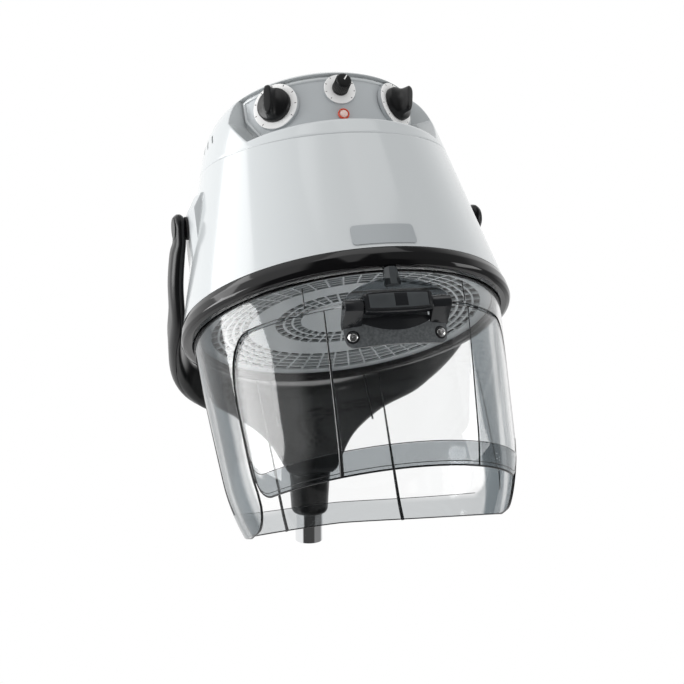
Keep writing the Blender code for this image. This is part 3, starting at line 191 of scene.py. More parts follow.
def spun(name, outline, steps, material, soft=0.0, place=None, sharp=38.0, parts=4):
    """A piece turned about Z from a closed outline of (radius, height), with softened corners."""
    if soft:
        outline = softened(outline, soft, parts)
    points = []
    faces = []
    count = len(outline)
    for k in range(steps):
        turn = 2 * math.pi * k / steps
        for radius, height in outline:
            points.append(Vector((radius * math.cos(turn), radius * math.sin(turn), height)))
    for k in range(steps):
        n = (k + 1) % steps
        for j in range(count):
            m = (j + 1) % count
            if outline[j][0] < 1e-7 and outline[m][0] < 1e-7:
                continue
            faces.append((k * count + j, n * count + j, n * count + m, k * count + m))
    return make_piece(name, points, faces, material, sharp, place)


def dress(node, material):
    """Give a carried-over solid its finish."""
    body = frame["nodes"][node]
    body.data.materials.clear()
    body.data.materials.append(material)


def install(item, body, slot, *nodes):
    """Hang a finished piece on its body in place of the solids that it stands for."""
    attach(item, body)
    if nodes:
        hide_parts(*nodes)


pole_radius, pole_bore, pole_length = 0.0175, 0.0155, 0.165
chrome = skinned("bright_chrome", (0.80, 0.81, 0.82), 0.05, 0.03, metallic=1.0, gloss=0.04, patch=30.0,
                 grain=500.0, depth=0.004)
pole = spun("pole_tube_fine", [(pole_bore, 0.0), (pole_radius, 0.0), (pole_radius, pole_length),
                               (pole_bore, pole_length)], 96, chrome, 0.0006)
install(pole, "post", "pole_chrome", "pole_tube")
plug_black = skinned("plug_plastic", (0.02, 0.02, 0.022), 0.5, 0.1, patch=40.0, grain=1200.0, depth=0.05)
dress("pole_end_plug", plug_black)
nylon = skinned("bush_nylon_white", (0.72, 0.70, 0.65), 0.45, 0.05, gloss=0.06, patch=30.0, depth=0.03)
dress("swivel_bush", nylon)


# Sleeve
# A moulded black collar that slides on the pole under the neck and takes the fork's weight.
# A knurled screw through its back clamps it at the chosen height.

def painted_end(tree, shape, paint, leave):
    """End a geometry tree with real copies in the given finish."""
    real = add(tree, "GeometryNodeRealizeInstances", {0: shape})[0]
    coat = add(tree, "GeometryNodeSetMaterial", {"Geometry": real, "Material": paint})[0]
    tree.links.new(coat, leave[0])


# Geometry nodes: one shape copied round the Z axis a number of times over a span
round_tree, given, leave = new_tree(
    "repeat_round", "GeometryNodeTree",
    (("Shape", "Geometry"), ("Count", "Int"), ("Span", "Float"), ("Finish", "Material")),
    (("Shape", "Geometry"),))
row = add(round_tree, "GeometryNodeMeshLine", {"Count": given["Count"], "Offset": (0.0, 0.0, 0.0)})["Mesh"]
order = add(round_tree, "GeometryNodeInputIndex", {})[0]
share = maths(round_tree, "DIVIDE", given["Span"], given["Count"])
about = add(round_tree, "ShaderNodeCombineXYZ", {"Z": maths(round_tree, "MULTIPLY", order, share)})[0]
facing = add(round_tree, "FunctionNodeEulerToRotation", {0: about})[0]
copies = add(round_tree, "GeometryNodeInstanceOnPoints",
             {"Points": row, "Instance": given["Shape"], "Rotation": facing})[0]
painted_end(round_tree, copies, given["Finish"], leave)


def applied(item, step):
    """Keep what a modifier makes of an object as its plain mesh."""
    graph = bpy.context.evaluated_depsgraph_get()
    data = bpy.data.meshes.new_from_object(item.evaluated_get(graph))
    item.modifiers.remove(step)
    old = item.data
    item.data = data
    bpy.data.meshes.remove(old)


def through_nodes(item, tree, values, place=None):
    """Run an object through a geometry tree, keep the result as a plain mesh, and move it into place."""
    step = item.modifiers.new("shape", "NODES")
    step.node_group = tree
    for entry in tree.interface.items_tree:
        if entry.in_out == "INPUT" and entry.name in values:
            step[entry.identifier] = values[entry.name]
    applied(item, step)
    if place:
        item.data.transform(place)
    return item


def repeated(item, count, finish, place=None, span=2 * math.pi):
    """Copies of a piece round the Z axis."""
    return through_nodes(item, round_tree, {"Count": count, "Span": span, "Finish": finish}, place)


def joined(*items):
    """Several objects made one, under the first one's name."""
    shape = bmesh.new()
    for item in items:
        shape.from_mesh(item.data)
    first = items[0]
    shape.to_mesh(first.data)
    shape.free()
    for item in items[1:]:
        bpy.data.objects.remove(item, do_unlink=True)
    return first


def rod(radius, low, high):
    """Outline of a plain cylinder."""
    return [(0.0, low), (radius, low), (radius, high), (0.0, high)]


def back_axis(low, high):
    """A frame in the middle of a box, seen from behind, whose Z points to the back."""
    return Matrix.Translation(((low.x + high.x) / 2, 0.0, (low.z + high.z) / 2)) \
        @ Matrix.Rotation(math.radians(-90.0), 4, "X")


fork_black = skinned("fork_satin_black", (0.0045, 0.0048, 0.0052), 0.3, 0.25, gloss=0.10, patch=18.0,
                     grain=1400.0, depth=0.03, specular=0.3)
sleeve_bore, sleeve_low, sleeve_high = 0.0178, 0.0238, 0.0268
sleeve_floor, sleeve_top = 0.038, 0.0927
sleeve = spun("pole_sleeve_fine", [
    (sleeve_bore, sleeve_floor), (sleeve_low - 0.002, sleeve_floor), (sleeve_low, sleeve_floor + 0.004),
    (sleeve_high, sleeve_top - 0.003), (sleeve_high - 0.001, sleeve_top), (sleeve_bore, sleeve_top)],
    96, fork_black, 0.0015)
install(sleeve, "fork", "sleeve_black", "pole_sleeve")

low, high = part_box("sleeve_clamp_screw")
screw_seat = back_axis(low, high)
shank, knurl_radius, tooth_radius, teeth = 0.003, 0.0054, 0.0005, 24
knurl_base = high.y - 0.008
knurled = spun("sleeve_clamp_screw_fine", [
    (0.0, low.y), (shank, low.y), (shank, knurl_base), (knurl_radius, knurl_base),
    (knurl_radius, high.y - 0.0004), (0.0042, high.y), (0.0, high.y - 0.0003)],
    48, fork_black, 0.0006, screw_seat)
tooth = spun("clamp_tooth", rod(tooth_radius, knurl_base + 0.0005, high.y - 0.001), 6, fork_black)
tooth.data.transform(Matrix.Translation((knurl_radius, 0.0, 0.0)))
repeated(tooth, teeth, fork_black, screw_seat)
install(joined(knurled, tooth), "fork", "sleeve_black", "sleeve_clamp_screw")


# Fork
# Two moulded black half shells that meet on a fine parting line: a broad neck over the pole, and two
# arms that sweep out under the hood and forward round it, flat and round-edged, up to the tilt pivots.

def loft(sections, ring=False):
    """Points and faces of a skin over closed outlines of equal length, with its ends closed."""
    count = len(sections[0])
    total = len(sections)
    points = [p for section in sections for p in section]
    faces = []
    for r in range(total if ring else total - 1):
        n = (r + 1) % total
        for k in range(count):
            m = (k + 1) % count
            faces.append((r * count + k, r * count + m, n * count + m, n * count + k))
    if not ring:
        for base in (0, (total - 1) * count):
            for k in range(count // 2 - 1):
                faces.append((base + k, base + k + 1, base + count - 2 - k, base + count - 1 - k))
    return points, faces


def spread(low, high, count):
    """Evenly spaced values from low to high."""
    return [low + (high - low) * k / (count - 1) for k in range(count)]


tilt_axis = Vector((0.0, -0.1062, 0.4219))
neck_bottom, neck_height, neck_half_width, neck_depth = 0.093, 0.115, 0.024, 0.054
arm_x, arm_depth, arm_thickness = 0.17525, 0.0325, 0.0135
fork_edge = 0.008
parting = 0.0005
pole_room_top = 0.1716
fork_width_share = 0.9997

# Lower and upper edge of the sweep between neck and arm, as shares of the way out, forward and up, and
# its thickness there
sweep = (
    ((0.205, -0.04, 0.040), (0.262, -0.03, 0.354), 0.038),
    ((0.331, -0.075, 0.133), (0.434, -0.03, 0.370), 0.032),
    ((0.559, -0.047, 0.228), (0.639, 0.03, 0.407), 0.028),
    ((0.822, 0.085, 0.304), (0.850, 0.17, 0.466), 0.024),
    ((0.960, 0.34, 0.404), (0.955, 0.36, 0.544), 0.019),
    ((1.020, 0.79, 0.543), (1.012, 0.585, 0.648), 0.0160),
    ((1.014, 1.09, 0.666), (1.030, 0.80, 0.739), 0.0154),
    ((1.026, 1.0, 0.806), (1.034, 1.0, 0.818), 0.016),
    ((1.012, 1.0, 0.905), (1.018, 1.0, 0.910), 0.0155),
)


def fork_stations():
    """Edge points and thickness of the right half of the fork, from its middle to the arm's tip."""
    rise = tilt_axis.z - neck_bottom
    top = neck_bottom + neck_height
    stations = [(Vector((0.0, 0.0, neck_bottom)), Vector((0.0, 0.0, top)), neck_depth),
                (Vector((neck_half_width, 0.0, neck_bottom)), Vector((neck_half_width, 0.0, top + parting)),
                 neck_depth * 0.85)]
    for k, (lower, upper, thick) in enumerate(sweep):
        edges = []
        for (out, ahead, up), side in ((lower, -1.0), (upper, 1.0)):
            point = Vector((out * arm_x, ahead * tilt_axis.y, neck_bottom + up * rise))
            if k >= len(sweep) - 2:
                point.y += side * arm_depth / 2
            edges.append(point)
        stations.append((*edges, thick))
    tip = arm_depth / 2
    rounding = [(tip * math.sin(t), tip * math.cos(t), math.cos(t * t * 0.75))
                for t in spread(0.0, math.radians(72.0), 4)]
    for lift, half, share in [(-tip, tip, 1.0)] + rounding:
        front, back = (Vector((arm_x, tilt_axis.y + y, tilt_axis.z + lift)) for y in (-half, half))
        stations.append((front, back, arm_thickness * share))
    return stations


def smooth_through(values, parts=6):
    """Points of a smooth curve through the given values, with extra ones between them."""
    result = []
    for k in range(len(values) - 1):
        before = values[max(k - 1, 0)]
        here = values[k]
        there = values[k + 1]
        after = values[min(k + 2, len(values) - 1)]
        for t in (step / parts for step in range(parts)):
            result.append(0.5 * (2 * here + (there - before) * t
                                 + (2 * before - 5 * here + 4 * there - after) * t * t
                                 + (3 * here - before - 3 * there + after) * t ** 3))
    return result + [values[-1]]


def half_section(lower, upper, thick, ahead, side):
    """One half of the fork's section: flat on the parting face, well rounded at its outer corners."""
    across = (upper - lower).normalized()
    out = across.cross(ahead).normalized() * side
    middle = (lower + upper) / 2
    face = thick / 2
    half = (upper - lower).length / 2
    deep = min(fork_edge, face * 0.96)
    long = min(fork_edge * 1.6, half * 0.8)
    outline = [(-half + 0.0004, parting / 2)]
    for turn in spread(0.0, math.pi / 2, 9):
        outline.append((-half + long - long * math.cos(turn), face - deep + deep * math.sin(turn)))
    for turn in spread(math.pi / 2, 0.0, 9):
        outline.append((half - long + long * math.cos(turn), face - deep + deep * math.sin(turn)))
    outline.append((half - 0.0004, parting / 2))
    return [middle + across * a + out * b for a, b in outline]


def fork_half(side):
    """Sections of one half shell from the left arm's tip round the neck to the right arm's tip."""
    lower, upper, thick = (smooth_through(list(values)) for values in zip(*fork_stations()))
    for point in lower:
        point.z = max(point.z, neck_bottom)
    middle = [(a + b) / 2 for a, b in zip(lower, upper)]
    right = []
    for k in range(len(middle)):
        ahead = middle[min(k + 3, len(middle) - 1)] - middle[max(k - 3, 0)]
        if k == 0:
            ahead = Vector((1.0, 0.0, 0.0))
        right.append(half_section(lower[k], upper[k], thick[k], ahead, side))
    left = [[Vector((-p.x, p.y, p.z)) for p in section] for section in right[:0:-1]]
    return loft(left + right)


def cut_with(item, cutter):
    """Cut one object with another and keep the result as a plain mesh."""
    step = item.modifiers.new("cut", "BOOLEAN")
    step.object = cutter
    step.operation = "DIFFERENCE"
    step.solver = "EXACT"
    applied(item, step)
    shaded(item.data, 38.0)
    bpy.data.objects.remove(cutter, do_unlink=True)


def drill(item, radius, low, high, steps, place=None):
    """Cut a round hole along the Z of a place."""
    cut_with(item, spun("drill", rod(radius, low, high), steps, fork_black, place=place))


fork_halves = {}
for side, node in ((1.0, "fork_outer_shell"), (-1.0, "fork_inner_shell")):
    half = make_piece(node + "_fine", *fork_half(side), fork_black, 50.0,
                      Matrix.Scale(fork_width_share, 4, (1.0, 0.0, 0.0)))
    drill(half, sleeve_bore, 0.0, pole_room_top, 64)
    fork_halves[node] = half


# Fork fixings and pivots
# Cross-head screws hold the half shells together from behind, a rubber gland guards the lead's hole,
# and a flat moulded cap covers each pivot bolt, level with the arm.

def cross_head(shank, tip, seat, radius, rise, steps=48):
    """Points and faces of a screw along Z: a shank and a domed head with a cross recess."""
    rows = [(0.0, tip), (shank, tip), (shank, seat), (radius * 0.97, seat), (radius, seat + rise * 0.12)]
    crown = [(radius * share, seat + rise * (0.25 + 0.75 * math.sqrt(max(0.0, 1 - share ** 2.2))))
             for share in (0.99, 0.95, 0.88, 0.78, 0.68, 0.6, 0.52, 0.45, 0.38, 0.3, 0.22, 0.15, 0.08)]
    points = []
    faces = []
    total = len(rows) + len(crown) + 1
    for k in range(steps):
        turn = 2 * math.pi * k / steps
        for j, (r, z) in enumerate(rows + crown + [(0.0, seat + rise)]):
            x = r * math.cos(turn)
            y = r * math.sin(turn)
            slot = min(abs(x), abs(y)) < radius * 0.13 and max(abs(x), abs(y)) < radius * 0.6
            points.append(Vector((x, y, z - (rise * 0.75 if slot and j >= len(rows) else 0.0))))
    for k in range(steps):
        n = (k + 1) % steps
        for j in range(total - 1):
            faces.append((k * total + j, n * total + j, n * total + j + 1, k * total + j + 1))
    return points, faces


screw_steel = skinned("zinc_screw_steel", (0.55, 0.55, 0.54), 0.28, 0.12, metallic=1.0, gloss=0.12,
                      patch=200.0, grain=1500.0, depth=0.03)
rubber = skinned("gland_rubber_black", (0.025, 0.025, 0.026), 0.62, 0.15, grain=1600.0, depth=0.08)
outer_half = fork_halves["fork_outer_shell"]
head_rise, play = 0.0025, 0.0003
for hand in ("left", "right"):
    low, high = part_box("fork_screw_" + hand)
    spot = back_axis(low, high)
    head = (high.x - low.x) / 2
    drill(outer_half, head + play, high.y - 0.003, neck_depth, 32, spot)
    screw = make_piece("fork_screw_%s_fine" % hand, *cross_head(
        head / 2.2, low.y, high.y - head_rise, head, head_rise), screw_steel, 30.0, spot)
    install(screw, "fork", "fastener_steel", "fork_screw_" + hand)

low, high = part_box("cable_gland")
gland_axis = back_axis(low, high)
gland_bore, gland_neck, gland_flange = 0.0032, 0.006, 0.0096
drill(outer_half, gland_neck + play, 0.01, neck_depth, 32, gland_axis)
flange_low, flange_high = 0.0273, 0.0315
ribs_start, gland_ribs, rib_depth = 0.0322, 5, 0.0009
gland_rows = [(gland_bore, low.y), (gland_neck, low.y), (gland_neck, flange_low), (gland_flange, flange_low),
              (gland_flange, flange_high)]
pitch = (high.y - ribs_start) / gland_ribs
for k in range(gland_ribs):
    start = ribs_start + (high.y - ribs_start) * k / gland_ribs
    wide = 0.0064 - 0.0002 * k
    gland_rows += [(wide - rib_depth, start), (wide, start + pitch * 0.3), (wide, start + pitch * 0.7),
                   (wide - rib_depth, start + pitch * 0.95)]
gland_rows += [(gland_bore, high.y)]
gland = spun("cable_gland_fine", gland_rows, 48, rubber, 0.0006, gland_axis, parts=3)
install(gland, "fork", "gland_rubber", "cable_gland")

cap_radius = 0.0125
for hand, sideways in (("left", -90.0), ("right", 90.0)):
    low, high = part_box("pivot_cap_" + hand)
    face = max(abs(low.x), abs(high.x))
    about = Matrix.Translation(tilt_axis) @ Matrix.Rotation(math.radians(sideways), 4, "Y")
    for half in fork_halves.values():
        drill(half, cap_radius + play, face - 0.0055, face + 0.01, 48, about)
    cap = spun("pivot_cap_%s_fine" % hand, [
        (0.0, face - 0.0024), (cap_radius, face - 0.0024), (cap_radius, face - 0.0006),
        (0.0116, face - 0.0001), (0.0098, face - 0.0005), (0.0, face)], 64, fork_black, 0.0004, about)
    install(cap, "fork", "fork_black", "pivot_cap_" + hand)
    dress("pivot_bolt_" + hand, screw_steel)
    dress("friction_washer_" + hand, rubber)
for node, half in fork_halves.items():
    install(half, "fork", "fork_black", node)


# Hood shell
# A tapered drum moulded in gloss silver-grey plastic. A flat-faced pod on each side carries the tilt
# bolt, and its face runs out to a point near the rim.

hood_frame = Matrix.Translation(tilt_axis) @ Matrix.Rotation(math.radians(-32.0), 4, "X") \
    @ Matrix.Translation((0.0, 0.0, -0.126))
rim_top = 0.0159
shell_base_radius, shell_taper, shell_wall = 0.181, 0.2155, 0.0035
crown_start, crown_top, crown_power = 0.170, 0.27185, 4.7
seam_front, seam_climb = 0.162, 0.060
seam_gap, seam_edge, seam_round = 0.0002, 0.0012, 0.0005
pod_half_turn = math.radians(14.0)
pod_face, pod_shoulder, pod_brow, pod_top = 0.166, 0.1388, 0.156, 0.1575
pod_lean, pod_lean_height, pod_brow_slope = 0.0095, 0.0172, 4.0
pod_flat, pod_half_width, pod_cheek, pod_blend = 0.0168, 0.028, 0.5, 0.0012


def shell_radius(z, inset=0.0):
    """Radius of the hood: a straight taper that closes in a rounded crown."""
    straight = shell_base_radius - inset - shell_taper * (z - rim_top)
    share = max(0.0, (z - crown_start) / (crown_top - inset - crown_start))
    return straight * max(0.0, 1 - share ** crown_power) ** (1 / crown_power)


def seam_height(angle):
    """Height of the seam between shell and crown, which climbs towards the back."""
    return seam_front + seam_climb * (1 - math.cos(angle)) / 2


def polar(radius, angle, z):
    """A point of the level hood by its distance from the axis, its angle from the front, and its height."""
    return Vector((radius * math.sin(angle), -radius * math.cos(angle), z))


def pod_radius(angle, z):
    """How far out the pivot pod reaches in a direction, or nothing beside it."""
    away = abs(abs(angle) - math.pi / 2)
    if away > pod_half_turn or z > pod_top:
        return 0.0
    face = pod_face - pod_lean * max(0.0, (z - pod_shoulder) / pod_lean_height)
    if z > pod_brow:
        face -= (z - pod_brow) * pod_brow_slope
    reach = face / math.cos(away)
    if reach * math.sin(away) > pod_flat:
        reach = (face + pod_cheek * pod_flat) / (math.cos(away) + pod_cheek * math.sin(away))
    if reach * math.sin(away) > pod_half_width:
        reach = pod_half_width / math.sin(away)
    return reach


turns = [math.radians(a) for a in range(-180, 180, 2)]
for side in (-1, 1):
    turns += [side * (math.pi / 2 + math.radians(k * 0.5)) for k in range(-26, 27)]
    turns += [side * math.pi / 2 + math.radians(d * (9.0 + 0.08 * k)) for d in (-1, 1) for k in range(20)]
pod_rows = spread(rim_top + 0.0003, 0.138, 64) + spread(pod_shoulder, 0.1555, 16) \
    + spread(pod_brow, 0.1576, 9) + [0.158, 0.159]
sections = []
for angle in sorted(set(round(a, 6) for a in turns)):
    top = seam_height(angle) - seam_gap / 2
    outer = []
    inner = []
    for z in pod_rows + spread(0.16, top - 0.0013, 20) + spread(top - seam_edge, top, 4):
        base = shell_radius(z)
        out = pod_radius(angle, z) - base
        if out <= pod_blend:
            out = (out + pod_blend) ** 2 / (4 * pod_blend) if out > -pod_blend else 0.0
        edge = seam_round * ((z - top + seam_edge) / seam_edge) ** 2 if z > top - seam_edge else 0.0
        outer.append(polar(base + max(0.0, out) - edge, angle, z))
        inner.append(polar(shell_radius(z, shell_wall), angle, z))
    sections.append(outer + inner[::-1])
silver = skinned("hood_gloss_silver", (0.52, 0.545, 0.555), 0.17, 0.03, gloss=0.05, patch=7.0, grain=1500.0,
                 depth=0.006, more=(("Coat Weight", 0.6), ("Coat Roughness", 0.1)))
shell = make_piece("hood_shell_fine", *loft(sections, ring=True), silver, 22.0, hood_frame)
install(shell, "hood", "shell_silver", "hood_shell")


# Crown
# The lid of the hood, moulded like the shell and set on it along a fine seam that climbs to the back.
# A deep tray in its front holds the controls, and slanted slots at both sides let the air in.

panel_radius, panel_bottom, panel_top = 0.110, 0.181, 0.254
panel_half_angle, panel_corner, panel_rise = math.radians(61.0), math.radians(13.0), 0.040
tray_lip, lip_drop, tray_fall = 0.0022, 0.0007, 0.0009


def tray_floor(angle, half_angle=panel_half_angle, low=panel_bottom):
    """Lower edge of the control tray, with its corners cut off."""
    past = min(1.0, max(0.0, abs(angle) - (half_angle - panel_corner)) / panel_corner)
    return low + panel_rise * past


def crown_radius(angle, z):
    """Radius of the crown, drawn in over the tray with soft lips."""
    out = shell_radius(z)
    inside = min(z - tray_floor(angle), panel_top - z, (panel_half_angle - abs(angle)) * panel_radius)
    if inside <= -tray_lip:
        return out
    if inside <= 0.0:
        return out - lip_drop * ((inside + tray_lip) / tray_lip) ** 2
    share = min(1.0, inside / tray_fall)
    share = share * share * (3 - 2 * share)
    return (out - lip_drop) * (1 - share) + panel_radius * share


steps_near = (0.0, 0.0002, 0.00045, 0.0007, 0.0009, 0.0016, 0.003)
steps_past = (0.0007, 0.0014, 0.0022, 0.004)
turns = [math.radians(a * 1.5) for a in range(-120, 120)]
for side in (-1, 1):
    turns += [side * (panel_half_angle - s / panel_radius) for s in steps_near]
    turns += [side * (panel_half_angle + s / panel_radius) for s in steps_past]
    turns.append(side * (panel_half_angle - panel_corner))
dome = panel_top + 0.004
sections = []
for angle in sorted(set(round(a, 6) for a in turns)):
    base = seam_height(angle) + seam_gap / 2
    ledge = max(tray_floor(angle), base + 0.008)
    heights = [base + share * (ledge - 0.0045 - base) for share in (0.0, 0.04, 0.1, 0.3, 0.5, 0.75)]
    heights += [ledge - s for s in reversed(steps_past)] + [ledge + s for s in steps_near]
    heights += spread(ledge + 0.005, panel_top - 0.005, 14) + [panel_top - s for s in reversed(steps_near)]
    heights += [panel_top + s for s in steps_past]
    heights += [dome + (crown_top - panel_top - 0.004) * math.sin(t) for t in spread(0.06, math.pi / 2, 18)]
    outer = []
    inner = []
    for z in heights:
        edge = seam_round * max(0.0, 1 - (z - base) / 0.0014) ** 2
        outer.append(polar(max(0.0, crown_radius(angle, z) - edge - 0.00006), angle, z))
    for z in heights[:-1]:
        low = min(z, crown_top - shell_wall)
        inner.append(polar(max(0.0, min(crown_radius(angle, z), shell_radius(z)) - shell_wall), angle, low))
    inner.append(Vector((0.0, 0.0, crown_top - shell_wall)))
    sections.append(outer + inner[::-1])
crown = make_piece("crown_cover_fine", *loft(sections, ring=True), silver, 30.0)
vents, vent_half_width, vent_half_length, vent_depth = 5, 0.0015, 0.0055, 0.012
vent_slant, first_vent, vent_pitch = math.radians(25.0), math.radians(14.0), math.radians(6.0)
slot_line = [(vent_half_width * math.cos(t), vent_half_length * s + vent_half_width * math.sin(t))
             for s, a in ((1, 0.0), (-1, math.pi)) for t in spread(a, a + math.pi, 7)]
middle = (panel_bottom + panel_top) / 2
slots = []
for side in (-1, 1):
    for k in range(vents):
        angle = side * (panel_half_angle + first_vent + vent_pitch * k)
        spot = Matrix.Translation(polar(shell_radius(middle), angle, middle)) \
            @ Matrix.Rotation(angle, 4, "Z") @ Matrix.Rotation(side * vent_slant, 4, "Y")
        slots.append(make_piece("vent_slots", *loft([[spot @ Vector((x, y, z)) for x, z in slot_line]
                                                     for y in (-vent_depth, vent_depth)]), silver))
cut_with(crown, joined(*slots))
shaded(crown.data, 30.0)
crown.data.transform(hood_frame)
install(crown, "hood", "shell_silver", "crown_cover")


# Control fascia
# A thin satin silver plate, bent round the tray's floor and stuck to it, with a raised border and a low
# round boss under each dial.

def thick_patch(outer, inner, wrap=False, skip=None):
    """Points and faces of a wall between two grids of points, without the cells that skip names."""
    columns = len(outer[0])
    points = [p for grid in (outer, inner) for row in grid for p in row]
    shift = len(outer) * columns
    faces = []
    edges = {}
    for r in range(len(outer) - 1):
        for c in range(columns if wrap else columns - 1):
            if skip and skip(r, c):
                continue
            n = (c + 1) % columns
            cell = [r * columns + c, r * columns + n, (r + 1) * columns + n, (r + 1) * columns + c]
            faces.append(tuple(cell))
            faces.append(tuple(shift + i for i in reversed(cell)))
            for a, b in zip(cell, cell[1:] + cell[:1]):
                if (b, a) in edges:
                    del edges[(b, a)]
                else:
                    edges[(a, b)] = True
    for a, b in edges:
        faces.append((b, a, shift + a, shift + b))
    return points, faces


def plate(name, point, across, along, lifts, material, sharp=38.0, place=None):
    """A bent plate between two lifts, from a point for each value across, value along and lift."""
    grids = [[[point(a, s, lift) for a in across] for s in along] for lift in lifts]
    return make_piece(name, *thick_patch(*grids), material, sharp, place)


def eased(item, width):
    """Round a piece's sharp edges."""
    step = item.modifiers.new("eased_edges", "BEVEL")
    step.width = width
    step.segments = 2
    step.limit_method = "ANGLE"
    step.angle_limit = math.radians(50.0)
    step.harden_normals = True
    return item


def upright(angle):
    """A turn that makes Z point out of the hood at an angle, with Y up."""
    along = Vector((math.cos(angle), math.sin(angle), 0.0))
    return Matrix((along, Vector((0.0, 0.0, 1.0)), polar(1.0, angle, 0.0))).transposed().to_4x4()


def panel_frame(angle, z):
    """A frame on the tray's floor with its z pointing out of the panel."""
    return hood_frame @ Matrix.Translation(polar(panel_radius, angle, z)) @ upright(angle)


satin = skinned("fascia_satin_silver", (0.44, 0.465, 0.48), 0.42, 0.05, metallic=0.1, patch=20.0,
                grain=1800.0)
fascia_half = panel_half_angle - 0.003 / panel_radius
fascia_low, fascia_high = 0.184, 0.251


def fascia_point(angle, share, lift):
    """A point on the fascia at a share of its height."""
    z = tray_floor(angle, fascia_half, fascia_low) * (1 - share) + fascia_high * share
    return polar(panel_radius + lift, angle, z)


fascia = plate("control_fascia_fine", fascia_point, spread(-fascia_half, fascia_half, 97),
               spread(0.0, 1.0, 9), (0.0023, 0.0003), satin, place=hood_frame)
install(eased(fascia, 0.0006), "hood", "fascia_silver", "control_fascia")

border_inset, border_width, border_height = 0.0022, 0.0040, 0.0017
border_side = fascia_half * panel_radius - border_inset
border_low, border_high = fascia_low + border_inset, fascia_high - border_inset
border_bend = border_side - panel_corner * panel_radius
corners = [(-border_side, border_high), (-border_side, border_low + panel_rise), (-border_bend, border_low),
           (border_bend, border_low), (border_side, border_low + panel_rise), (border_side, border_high)]
route = []
for here, there in zip(corners, corners[1:] + corners[:1]):
    route += [Vector(here).lerp(Vector(there), share) for share in spread(0.0, 1.0, 41)[:-1]]
for _ in range(4):
    route = [(route[k - 1] + 2 * p + route[(k + 1) % len(route)]) / 4 for k, p in enumerate(route)]
sections = []
for k, spot in enumerate(route):
    ahead = (route[(k + 1) % len(route)] - route[k - 1]).normalized()
    section = []
    for turn in spread(-0.2, math.pi + 0.2, 9):
        side = border_width / 2 * math.cos(turn)
        height = panel_radius + 0.0022 + border_height * math.sin(turn)
        section.append(polar(height, (spot.x - ahead.y * side) / panel_radius, spot.y + ahead.x * side))
    sections.append(section)
border = make_piece("fascia_border", *loft(sections, ring=True), silver, 60.0, hood_frame)
install(border, "hood", "shell_silver")

# Each control's name, angle and height on the panel, dial radius and boss height
knob_turn, knob_z, dial_radius, boss_height = math.radians(37.0), 0.2265, 0.0265, 0.0045
controls = (("speed", -knob_turn, knob_z, dial_radius, boss_height),
            ("timer", 0.0, 0.2345, 0.0178, 0.003375),
            ("thermostat", knob_turn, knob_z, dial_radius, boss_height))
spindle_hole = 0.0033
for name, angle, z, dial, boss in controls:
    pad = spun(name + "_boss", [(spindle_hole, 0.0012), (dial + 0.0003, 0.0005), (dial + 0.0003, boss),
                                (spindle_hole, boss)], 72, satin, 0.0005, panel_frame(angle, z))
    install(pad, "hood", "fascia_silver")


# Dials
# Thin white plastic discs, fixed to the bosses round the spindles.
# Each has a ring of black scale marks, printed near its edge.

def block(name, half, along, heights, material, place):
    """A small block on a face, from half its width, its reach along Y and its heights."""
    outline = ((-half, along[0]), (half, along[0]), (half, along[1]), (-half, along[1]))
    sections = [[Vector((x, y, z)) for x, y in outline] for z in heights]
    return make_piece(name, *loft(sections), material, place=place)


dial_white = skinned("dial_white_gloss", (0.84, 0.84, 0.835), 0.3, 0.02, gloss=0.05, patch=40.0, depth=0.01)
mark_black = skinned("scale_ink", (0.012, 0.012, 0.013), 0.45, 0.2, gloss=0.05, patch=200.0, grain=1500.0)
marks, mark_half_width, marks_span = 9, 0.0004, -2 * math.pi * 0.84
first_mark = Matrix.Rotation(math.radians(135.0), 4, "Z")
for name, angle, z, dial, boss in controls:
    disc = boss + 0.0003
    face = disc + 0.0012
    white = spun(name + "_dial_fine", [
        (spindle_hole, disc), (dial, disc), (dial, face - 0.0004), (dial - 0.0005, face),
        (spindle_hole, face)], 96, dial_white, 0.0003, panel_frame(angle, z))
    install(white, "hood", "dial_white", name + "_dial")
    outer = dial - 0.0008
    inner = outer - (0.0022 if dial > 0.02 else 0.0016)
    mark = block(name + "_dial_marks", mark_half_width, (inner, outer), (face - 0.0002, face + 0.00008),
                 mark_black, first_mark)
    repeated(mark, marks, mark_black, panel_frame(angle, z), marks_span)
    install(mark, "hood", "knob_black")


# Knobs
# Black satin mouldings pushed on steel spindles: two round ones drawn up into a finger bar, and a slim
# ribbed one with a white pointer line in the middle.

knob_black = skinned("knob_gloss_black", (0.006, 0.0063, 0.0068), 0.34, 0.2, grain=1500.0, specular=0.35)
pointer_white = skinned("pointer_white", (0.8, 0.8, 0.79), 0.4, 0.03, gloss=0.05, depth=0.01)
knob_radius, bar_half_length, bar_half_width, bar_power = 0.0195, 0.0182, 0.0048, 3.4
# Height, scale and share of the bar in the knob's outline
knob_levels = (
    (0.0, 0.975, 0.0), (0.0006, 1.0, 0.0), (0.0052, 0.985, 0.0), (0.0064, 0.965, 0.03),
    (0.0074, 0.95, 0.14), (0.0085, 0.95, 0.35), (0.0100, 0.95, 0.60), (0.0120, 0.95, 0.80),
    (0.0145, 0.95, 0.93), (0.0170, 0.95, 1.0), (0.0186, 0.935, 1.0), (0.0194, 0.90, 1.0),
    (0.0199, 0.82, 1.0), (0.0200, 0.70, 1.0))


def bar_knob(base, sides=96):
    """Sections of a round knob that rises into a bar across it."""
    sections = []
    for height, scale, share in knob_levels:
        section = []
        for k in range(sides):
            turn = 2 * math.pi * (k + 0.5) / sides
            bar = (abs(math.cos(turn) / bar_half_width) ** bar_power
                   + abs(math.sin(turn) / bar_half_length) ** bar_power) ** (-1 / bar_power)
            reach = (knob_radius * (1 - share) + bar * share) * scale
            section.append(Vector((reach * math.cos(turn), reach * math.sin(turn), base + height)))
        sections.append(section)
    return sections


